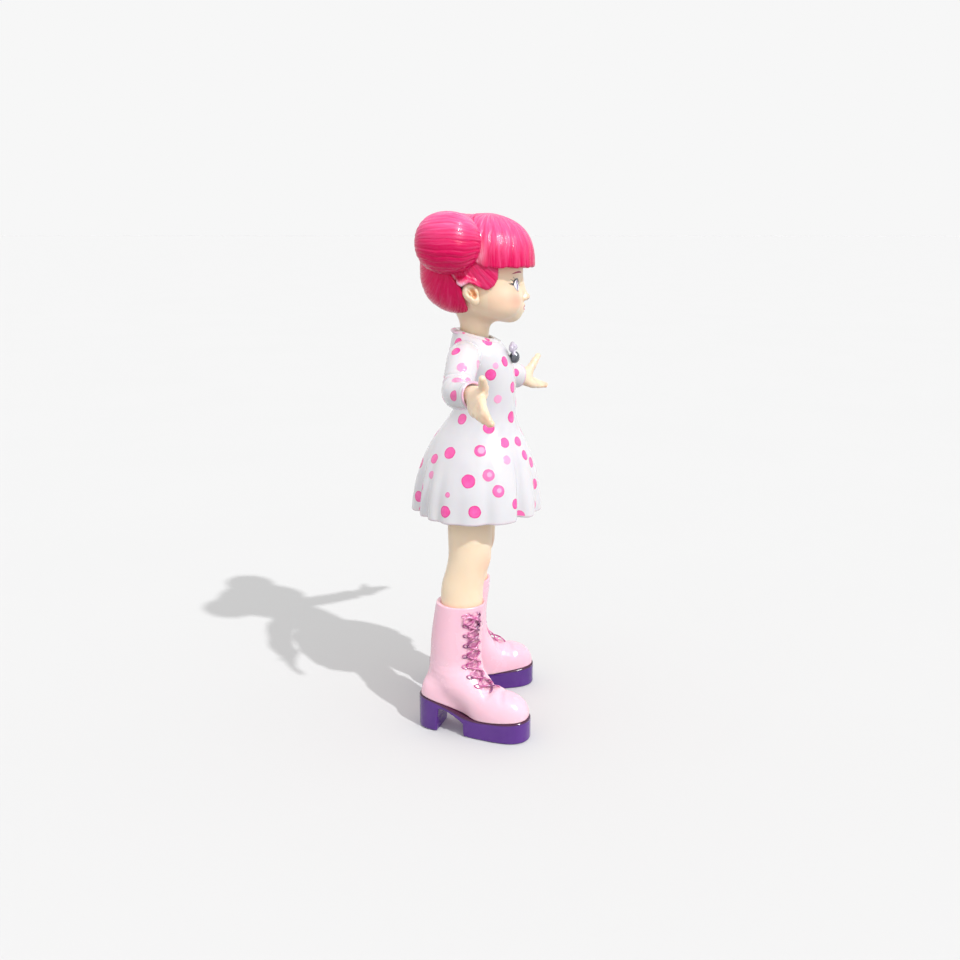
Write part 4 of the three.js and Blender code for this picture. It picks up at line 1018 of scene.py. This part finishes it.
for name, sign in SIDES:
    rows = []
    for z in np.linspace(LEG_ROWS[0][0], LEG_ROWS[-1][0], 150):
        x, back, front, half = spline(LEG_ROWS, np.array([z]))[0]
        rows.append(oval(around, sign * x, back, front, half, z, 0.3 * bell(z, KNEE_Z, 2.6) * kneecap))
    p, f = capped(rows)
    knee_shade = 0.22 * bell(p[:, 2], KNEE_Z, 3.2) * smooth(-2, 3, p[:, 1])
    rim_shade = 0.25 * smooth(BOOT_RIM_Z, 38.8, p[:, 2])
    make(f"leg_{name}", p, f, SKIN, "torso", [f"leg_{name}"],
         fields={"blush": knee_shade, "shade": rim_shade})

p, f = capped([oval(around, 0, back, front, half, z) for z, back, front, half in HIP_ROWS])
plain = np.zeros(len(p))
make("hip_block", p, f, DRESS, "torso", ["hip_block"],
     fields={"print": plain + NO_PRINT, "thin": plain, "crease": plain})

# ---------------------------------------------------------------- boots
TOE_OUT = math.radians(14.7)
HEEL_X, HEEL_FORWARD = 12.9, -13.2
FOOT_BACK, FOOT_TOE = -4.3, 30.4
SOLE_TOP = [[-6, 10.5], [-1, 10.2], [3, 9.2], [7, 7.6], [10.5, 6.4], [14, 5.9], [20, 6.1], [32, 6.9]]
ARCH = np.array([  # the gap between heel and platform: along the foot, and height
    (2.6, -3), (2.75, 4.6), (3.2, 7.4), (4.8, 7.3), (7.4, 6.0), (9.9, 4.7), (11.0, 3.9), (11.4, -3),
])
SHAFT = [  # height, x, back, front, half width
    [6, 13.0, -16.9, 4.2, 4.9], [10, 12.95, -16.35, 4.0, 5.1], [14.5, 12.7, -15.45, 3.4, 5.5],
    [18.5, 12.35, -14.55, 2.0, 6.0], [22.5, 12, -14.1, 1.3, 6.4], [27, 11.7, -13.9, 1.2, 6.7],
    [32, 11.4, -13.4, 1.7, 6.8], [36, 11.15, -12.8, 2.2, 6.8], [39.3, 10.95, -12.2, 2.4, 6.75],
]
SHAFT_HOLE = [[30, 11.5, -11.0, 0.4, 5.4], [36.9, 11.05, -10.8, 1.35, 5.75], [45, 10.4, -10.6, 1.8, 5.75]]
# Along the foot, how far it leans with the distance from the foot's middle, depth and half width.
TOE_CREASES = ((16.4, 0.3, 0.45, 0.9), (19.0, -0.1, 0.42, 0.85), (21.6, 0.25, 0.32, 0.9))


def to_foot(p, sign):
    """Along the foot from the heel's middle, outwards across it, and up."""
    s, c = math.sin(TOE_OUT), math.cos(TOE_OUT)
    dx, df = sign * p[:, 0] - HEEL_X, p[:, 1] - HEEL_FORWARD
    return np.column_stack([dx * s + df * c, dx * c - df * s, p[:, 2]])


def from_foot(q, sign):
    s, c = math.sin(TOE_OUT), math.cos(TOE_OUT)
    along, across, up = np.atleast_2d(q).T
    x, forward = HEEL_X + along * s + across * c, HEEL_FORWARD + along * c - across * s
    return np.column_stack([sign * x, forward, up])


def sole_top(q):
    return spline(SOLE_TOP, q[:, 0])[:, 0]


def footprint(q):
    """Roughly the level distance to the sole's outline: a round heel, a waist and a broad round toe."""
    t = (q[:, 0] - FOOT_BACK) / (FOOT_TOE - FOOT_BACK)
    inner = np.clip(t, 0, 1)
    ball_of_foot = 1.25 * np.sin(np.pi * np.clip((inner - 0.35) / 0.9, 0, None))
    waist = 0.35 * bell(inner, 0.32, 0.12)
    n = np.sqrt((q[:, 1] / (4.9 + ball_of_foot - waist)) ** 2 + np.abs(2 * t - 1) ** 6)
    return (n - 1) * np.where(t > 0.5, 5.4, 4.4)


def boot(p, sign):
    q = to_foot(p, sign)
    m = p * (sign, 1, 1)
    toe = ball(q, (20.6, 0.1, 6.6), (9.3, 5.85, 7.0), 2.5)
    instep = rod(q, (8.0, 0, 15.5), (19.5, 0, 8.6), 5.0, 5.0)
    heel_counter = ball(q, (1.6, 0, 11.0), (4.7, 4.3, 5.0), 2.4)
    d = blend(level(m, SHAFT, 2.1), blend(toe, instep, 3.0), 3.2)
    d = blend(d, heel_counter, 1.6)
    d = carve(d, p[:, 2] - sole_top(q) - 0.1, 0.35)
    return carve(d, level(m, SHAFT_HOLE), 0.7)


def sole(p, sign):
    """Platform and block heel in one: the footprint, cut by the boot, the ground and the arch."""
    q = to_foot(p, sign)
    d = carve(footprint(q), sole_top(q) + 0.05 - p[:, 2], 0.5)
    d = carve(d, p[:, 2], 0.7)
    return carve(d, outline_distance(q[:, 0], q[:, 2], ARCH), 0.45)


# ---------------------------------------------------------------- laces
FOOT_FORWARD = (1.0, 0, 0)
LACE_ROWS = 8
LACE_LINE = [  # from under the rim (0) to the toe end (1): along the foot, and height
    [0, 13.2, 37.4], [0.25, 12.6, 31.5], [0.5, 12.3, 25.0],
    [0.7, 13.2, 19.9], [0.85, 14.9, 16.6], [1.0, 17.0, 14.3],
]


def on_boot(q, sign):
    """Foot points moved along the foot onto the boot's surface, and the way out of it there."""
    def surface(r):
        return boot(r, sign)
    p = from_foot(q, sign)
    step = from_foot(np.asarray(q) + FOOT_FORWARD, sign) - p
    for _ in range(40):
        p = p - step * np.clip(surface(p), -1, 1)[:, None] * 0.7
    return p, unit(gradient(surface, p))


def tube(path, radius, segments, flat, up):
    """A round-ended tube along a path; flat squeezes it along up, which has a direction for each point."""
    path = np.asarray(path, float)
    tangent = unit(np.gradient(path, axis=0))
    a = circle(segments)[:, None]
    rows = []
    for c, t, u in zip(path, tangent, up):
        s = unit(np.cross(t, u))
        rows.append(c + radius * (np.cos(a) * s + np.sin(a) * np.cross(s, t) * flat))

    def end(row, at, out, k):
        return row * k + at * (1 - k) + out * radius * (1 - k) * 0.8

    first = [end(rows[0], path[0], -tangent[0], k) for k in (0.5, 0.85)]
    last = [end(rows[-1], path[-1], tangent[-1], k) for k in (0.85, 0.5)]
    return capped([*first, *rows, *last])


def spot(t, across):
    """A foot point beside the lacing's middle, which widens towards the toe."""
    along, z = spline(LACE_LINE, np.array([t]))[0]
    return (along, across + 0.8 * float(smooth(0.4, 1.0, t)), z)


def lacing(sign):
    """Crossings with an eyelet at each end, and a bow under the rim."""
    shapes = []

    def lay(q, lift, radius, segments=10, flat=0.8):
        p, out = on_boot(q, sign)
        shapes.append((*tube(p + out * np.reshape(lift, (-1, 1)), radius, segments, flat, out), 0))

    def lay_straight(a, b, lift, bow):
        t = np.linspace(0, 1, 14)[:, None]
        lay(np.array(a) * (1 - t) + np.array(b) * t, lift + bow * np.sin(np.pi * t), 0.27)

    for i in range(LACE_ROWS):
        t0, t1 = (i + 0.15) / LACE_ROWS, (i + 0.95) / LACE_ROWS
        half = 1.75 + 0.35 * t0
        lay_straight(spot(t0, -half), spot(t1, half), 0.18, 0.3)
        lay_straight(spot(t0, half), spot(t1, -half), 0.34, 0.45)
        for s in (-1, 1):
            a = np.linspace(0, 2 * np.pi, 17)
            ring = np.column_stack([np.zeros(len(a)), 0.52 * np.cos(a), 0.52 * np.sin(a)])
            lay(np.array(spot(t0, s * (half + 0.15))) + ring, 0.12, 0.2, 8, 1.0)
    knot = spot(0.03, 0)
    a = np.linspace(0, 1, 26)
    for s in (-1, 1):
        across = s * 2.5 * np.sin(np.pi * a) ** 0.8 * (1 - 0.15 * a)
        up = knot[2] - 0.3 + 1.04 * np.sin(2 * np.pi * a) - 1.1 * np.sin(np.pi * a)
        lay(np.column_stack([np.full(len(a), knot[0]), across, up]), 0.3 + 0.35 * np.sin(np.pi * a), 0.3)
        lay_straight(knot, (knot[0], s * 1.5, knot[2] - 3.6), 0.3, 0.35)
    return merge(shapes)[:2]


def make_boot(name, sign):
    p, f, n = skin(lambda r: boot(r, sign), *search_box(f"boot_{name}", 1.0, 0.6, 0.8), step=0.27)
    along, across, up = to_foot(p, sign).T
    crease = sum(deep * bell(along, at + lean * np.abs(across), wide) for at, lean, deep, wide in TOE_CREASES)
    top_side = smooth(-0.1, 0.6, n[:, 2]) * smooth(5.9, 3.6, np.abs(across + 0.4))
    ankle = smooth(24, 20, up) * smooth(13, 17, up) * smooth(14, 9, along)
    fold = 0.07 * wobble(up * 0.9 + across * 0.5, 2) * ankle
    p = p - n * (crease * top_side + fold)[:, None]
    line = spline(LACE_LINE, np.clip((37.5 - up) / 24.0, 0, 1))[:, 0]
    wash = smooth(2.3, 1.5, np.abs(across)) * smooth(4.6, 2.4, np.abs(along - line + 0.4))
    wash = wash * smooth(12.4, 13.6, up) * smooth(38.4, 37.4, up)
    make(f"boot_{name}", p, f, BOOT, "torso", [f"boot_{name}"], fields={"wash": 0.8 * wash})
    make(f"laces_{name}", *lacing(sign), LACE, "torso", slot="boot_vinyl")


def make_sole(name, sign):
    p, f, n = skin(lambda r: sole(r, sign), *search_box(f"sole_{name}", 1.2, 0.4, 0.8), step=0.26)
    below = sole_top(to_foot(p, sign)) - p[:, 2]
    side_wall = smooth(0.75, 0.3, np.abs(n[:, 2]))
    p = p - n * (0.12 * bell(below, 0.75, 0.16) * side_wall)[:, None]
    p[:, 2] = np.maximum(p[:, 2], 0.0)
    make(f"sole_{name}", p, f, SOLE, "torso", [f"sole_{name}"], fields={"welt": below})


for name, sign in SIDES:
    make_boot(name, sign)
    make_sole(name, sign)

# ---------------------------------------------------------------- arms
ARMS = {  # sleeve: x, forward, height, radius; bend in degrees at each of BEND_AT
    "right": {
        "sign": -1,
        "sleeve": [[-9.9, -3.6, 111.8, 4.6], [-12, -3.7, 111.4, 4.75], [-14.8, -4, 109.6, 4.55],
                   [-18, -4.5, 106.6, 4.3], [-21.3, -4.8, 104.3, 4.25], [-24.6, -4.2, 103.5, 4.0],
                   [-27.4, -2.4, 103.6, 3.75], [-30.6, 0.3, 104.2, 3.7]],
        "fingers": (-0.87, 0.32, -0.37), "thumb": (-0.33, -0.05, 0.93),
        "turn": -28, "bend": (-14, -8, 6, 38), "thumb_arc": 1.6, "seed": 9,
    },
    "left": {
        "sign": 1,
        "sleeve": [[9.9, -3.6, 111.8, 4.6], [12, -3.4, 111.4, 4.75], [15, -2.7, 109.6, 4.5],
                   [18.3, -1.3, 106.9, 4.2], [21.6, 0.7, 104.6, 4.1], [24.9, 3.3, 103, 3.9],
                   [28.2, 6.3, 101.8, 3.75], [31.9, 9.9, 100.8, 3.7]],
        "fingers": (0.79, 0.56, -0.4), "thumb": (0.29, 0.18, 0.94),
        "turn": 56, "bend": (-3, 2, 8, 16), "thumb_arc": 0.9, "seed": 5,
    },
}
SLEEVE_RINGS = 190
SLEEVE_DOTS = [(0.16, 60), (0.2, 170), (0.3, 300), (0.36, 110), (0.44, 20), (0.5, 230), (0.58, 150),
               (0.66, 320), (0.7, 75), (0.8, 200), (0.86, 10), (0.9, 120)]  # share of the length, and degrees
ELBOW = 0.5  # its share of the sleeve's length
CRUMPLES = ((0.44, 0.28, 0.016), (ELBOW, 0.4, 0.018), (0.565, 0.26, 0.016))  # share, depth and half width
# Rings that turn the cuff in round the wrist: radius, and how far past the sleeve's end.
CUFF = ((3.86, 0.12), (3.7, 0.3), (3.45, 0.36), (3.22, 0.26), (3.12, 0.0), (3.08, -1.6))
CUFF_SHARE = 0.985  # the cuff's flare and the print stop here

# Lengths along a hand at which its bend is given, and its fingers: place at the knuckle and at the tip
# across the palm, reach and thickness, from the forefinger.
BEND_AT = (0, 7, 11, 17)
FINGERS = [
    (2.75, 1.3, 14.1, 0.95), (1.52, 0.78, 15.7, 0.98), (0.28, 0.26, 15.1, 0.95), (-0.95, -0.26, 13.1, 0.88),
]
KNUCKLE = 8.0
THUMB_RADII = (1.7, 1.5, 1.25, 1.15, 0.88)


def arm_line(arm):
    """Centres, directions and radii along a sleeve."""
    stations = np.array(arm["sleeve"])
    length = np.concatenate([[0], np.cumsum(np.linalg.norm(np.diff(stations[:, :3], axis=0), axis=1))])
    table = np.column_stack([length / length[-1], stations])
    line = spline(table, np.linspace(0, 1, SLEEVE_RINGS))
    tangent = unit(np.gradient(line[:, :3], axis=0))
    tangent[0] = (arm["sign"], 0, 0)
    return line[:, :3], tangent, line[:, 3]


def ring_round(centre, direction, radius, angle):
    across, up = sides(direction)
    return centre + radius * (np.cos(angle) * across + np.sin(angle) * up)


def make_sleeve(name, arm):
    sign = arm["sign"]
    centre, tangent, radius = arm_line(arm)
    angle = circle(150)[:, None]
    top = 0.25 + 0.75 * np.clip(np.sin(angle), 0, 1)
    rows = []
    for i, s in enumerate(np.linspace(0, 1, SLEEVE_RINGS)):
        crumple = sum(deep * bell(s, at + 0.02 * np.sin(angle * 2 + at * 40), wide)
                      for at, deep, wide in CRUMPLES)
        reach = radius[i] - crumple * top
        reach = reach + 0.1 * wobble(s * 16 + np.sin(angle) * 1.2 + sign, 6) * math.sin(math.pi * s)
        reach = reach + 0.25 * smooth(0.93, 0.97, s) * (s < CUFF_SHARE)
        rows.append(ring_round(centre[i], tangent[i], reach, angle))
    end, out = centre[-1], tangent[-1]
    shoulder = rows[0] - [sign * 1.0, 0, 0]
    rows = [shoulder, *rows, *(ring_round(end + out * past, out, r, angle) for r, past in CUFF)]
    p, f = capped(rows)

    rng = np.random.default_rng(arm["seed"])
    dots = []
    for s, degrees in SLEEVE_DOTS:
        a = math.radians(degrees + rng.uniform(-15, 15))
        i = int(s * (SLEEVE_RINGS - 1))
        # Some dots get a painted glint in their middle.
        dots.append((ring_round(centre[i], tangent[i], radius[i], a), rng.uniform(1.25, 1.65),
                     rng.choice([0, 0.1, 0.6]), rng.choice([0, 0, 0.6])))
    ink, thin = printed(p, dots)
    ring = np.repeat(np.arange(len(rows) + 2), len(angle))
    share = np.clip((ring - 2) / (SLEEVE_RINGS - 1), 0, 1)
    upper = np.tile(np.clip(0.2 + np.sin(angle[:, 0]), 0, 1), len(rows) + 2)
    past_end = (p - end) @ out
    cuff_line = 0.75 * smooth(-0.25, 0.1, past_end) * smooth(0.9, 0.3, past_end)
    # The pink line at the cuff's edge is print; the pink line along the elbow's crease is painted shade.
    crease = np.maximum(cuff_line, 0.6 * bell(share, ELBOW, 0.008) * upper)
    make(f"sleeve_{name}", p, f, DRESS, f"arm_{name}", [f"sleeve_{name}"],
         fields={"print": np.where(share < CUFF_SHARE, ink, NO_PRINT), "thin": thin, "crease": crease})


def make_hand(name, arm):
    """Fingers go along u, the thumb along v, and the palm faces w; it may be turned about u."""
    sign = arm["sign"]
    centre, tangent, _ = arm_line(arm)
    end, out = centre[-1], tangent[-1]
    root = end + out * 0.6
    u = unit(arm["fingers"])
    w = unit(np.cross(arm["thumb"], u) * sign)
    v = np.cross(u, w) * sign
    turn = math.radians(arm["turn"])
    c, s = math.cos(turn), math.sin(turn)
    thumb_frame = np.stack([u, v, w])
    palm_frame = np.stack([u, c * v - s * w, c * w + s * v])
    lengths = np.linspace(0, BEND_AT[-1], 69)
    heading = np.radians(np.interp(lengths, BEND_AT, arm["bend"]))
    run, rise = (np.concatenate([[0], np.cumsum(part[1:] * lengths[1])])
                 for part in (np.cos(heading), np.sin(heading)))

    def bent(length, b, lift=0.0):
        """A palm-frame point at a length along the hand's bent middle line, b across it and lift off it."""
        a, c, h = (float(np.interp(length, lengths, k)) for k in (run, rise, heading))
        return (a - lift * math.sin(h), b, c + lift * math.cos(h))

    palm = [(blend, 1.2, rod, bent(2.4, at * 0.5), bent(8.2, at), 1.3, 1.1) for at, _, _, _ in FINGERS]
    palm.append((blend, 1.3, ball, bent(4.4, -1.9, 0.3), (3.3, 1.6, 1.4)))  # heel of the hand
    palm.append((carve, 0.9, ball, bent(6.2, 0.9, 2.6), (2.4, 2.0, 1.6)))  # hollow of the palm
    fingers = []
    for knuckle, tip, reach, thick in FINGERS:
        joint = bent(KNUCKLE + (reach - KNUCKLE) * 0.5, (knuckle + tip) / 2)
        fingers.append((blend, 0.4, rod, bent(KNUCKLE, knuckle), joint, 1.02, thick))
        fingers.append((blend, 0.25, rod, joint, bent(reach, tip), thick, thick * 0.8))
    arc = arm["thumb_arc"]
    line = [(2.5, 0.9, 0.4), (3.6, 2.8, arc * 0.8), (4.6, 4.7, arc), (5.7, 6.9, (arc + 0.7) / 2),
            (6.7, 8.9, 0.8)]
    thumb_rods = list(zip(line, line[1:], THUMB_RADII, THUMB_RADII[1:]))

    def hand(p):
        q = (p - root) @ palm_frame.T
        t = (p - root) @ thumb_frame.T
        wrist = rod(p, end - out * 1.3, end + out * 0.8, 2.75, 2.5)
        d = mould(q, rod(q, bent(0.2, 0), bent(2.6, 0.2), 2.2, 2.0), palm + fingers)
        thumb = mould(t, rod(t, *thumb_rods[0]), [(blend, 0.3, rod, *numbers) for numbers in thumb_rods[1:]])
        return blend(blend(d, thumb, 2.2), wrist, 1.0)

    p, f, _ = skin(hand, *search_box(f"hand_{name}", 1.5, 1.5, 1.5), step=0.22)
    along, across, off = ((p - root) @ palm_frame.T).T
    tips = smooth(11.5, 14.5, along) * 0.35
    flush = 0.25 * bell(along, 6.5, 3) * bell(across, 0, 2.5) * (off > 0.5)
    make(f"hand_{name}", p, f, SKIN, f"palm_{name}", [f"hand_{name}"],
         fields={"blush": 0.5 * tips + flush, "shade": 0.25 * tips})


for name, arm in ARMS.items():
    make_sleeve(name, arm)
    make_hand(name, arm)

# ---------------------------------------------------------------- hidden plugs keep their CAD shape
for node in ("neck_plug", "shoulder_plug_left", "shoulder_plug_right"):
    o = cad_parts[node]
    o.data.materials.clear()
    o.data.materials.append(PLUG)

# ---------------------------------------------------------------- floor and light
FLOOR_SIZE = 60
bpy.ops.mesh.primitive_plane_add(size=FLOOR_SIZE, location=(0, 0, 0))
floor = bpy.context.object
floor.name = "floor"
m = Paint("floor_paper", roughness=0.9, specular=0.0)
m.set("Base Color", m.mix(m.ramp(m.noise(8), 0.3, 0.7), (0.657, 0.657, 0.657, 1), (0.662, 0.662, 0.662, 1)))
floor.data.materials.append(m.material)
floor.visible_diffuse = False

# The room is bright above the floor's horizon and dim below it, so undersides fall into shade.
ROOM_LIGHT, GROUND_LIGHT = 0.93, 0.58
DIM_BELOW, BRIGHT_ABOVE = -0.25, -0.02
world = bpy.data.worlds.new("studio")
bpy.context.scene.world = world
world.use_nodes = True
nodes, links = world.node_tree.nodes, world.node_tree.links
height = nodes.new("ShaderNodeSeparateXYZ")
links.new(nodes.new("ShaderNodeTexCoord").outputs["Generated"], height.inputs[0])
brightness = nodes.new("ShaderNodeMapRange")
links.new(height.outputs["Z"], brightness.inputs[0])
for i, v in enumerate((DIM_BELOW, BRIGHT_ABOVE, GROUND_LIGHT, ROOM_LIGHT), 1):
    brightness.inputs[i].default_value = v
links.new(brightness.outputs[0], nodes["Background"].inputs["Color"])
nodes["Background"].inputs["Strength"].default_value = 1.0

# The key light shines towards the picture's left and away from the camera, about 47 degrees above the floor.
KEY_TO_RIGHT, KEY_AWAY = -0.64, 0.685
LIGHT_DISTANCE = 1.2
away = Vector((aim.x, aim.y, 0)).normalized()
right = away.cross(Vector((0, 0, 1)))
travel = (right * KEY_TO_RIGHT + away * KEY_AWAY + Vector((0, 0, -1))).normalized()


def light(name, kind, energy, direction, **settings):
    o = bpy.data.objects.new(name, bpy.data.lights.new(name, kind))
    bpy.context.scene.collection.objects.link(o)
    o.data.energy = energy
    o.rotation_euler = direction.to_track_quat("-Z", "Y").to_euler()
    o.location = Vector(place(LOOK_AT)[0]) - direction * LIGHT_DISTANCE
    for key, value in settings.items():
        setattr(o.data, key, value)
    return o


light("key", "SUN", 2.05, travel, angle=math.radians(1.2))
flatter = (travel + Vector((0, 0, 0.1))).normalized()
softbox = light("softbox", "AREA", 18.0, flatter, shape="RECTANGLE", size=0.22, size_y=0.5)
softbox.visible_diffuse = False
bpy.context.scene.view_settings.view_transform = "Standard"
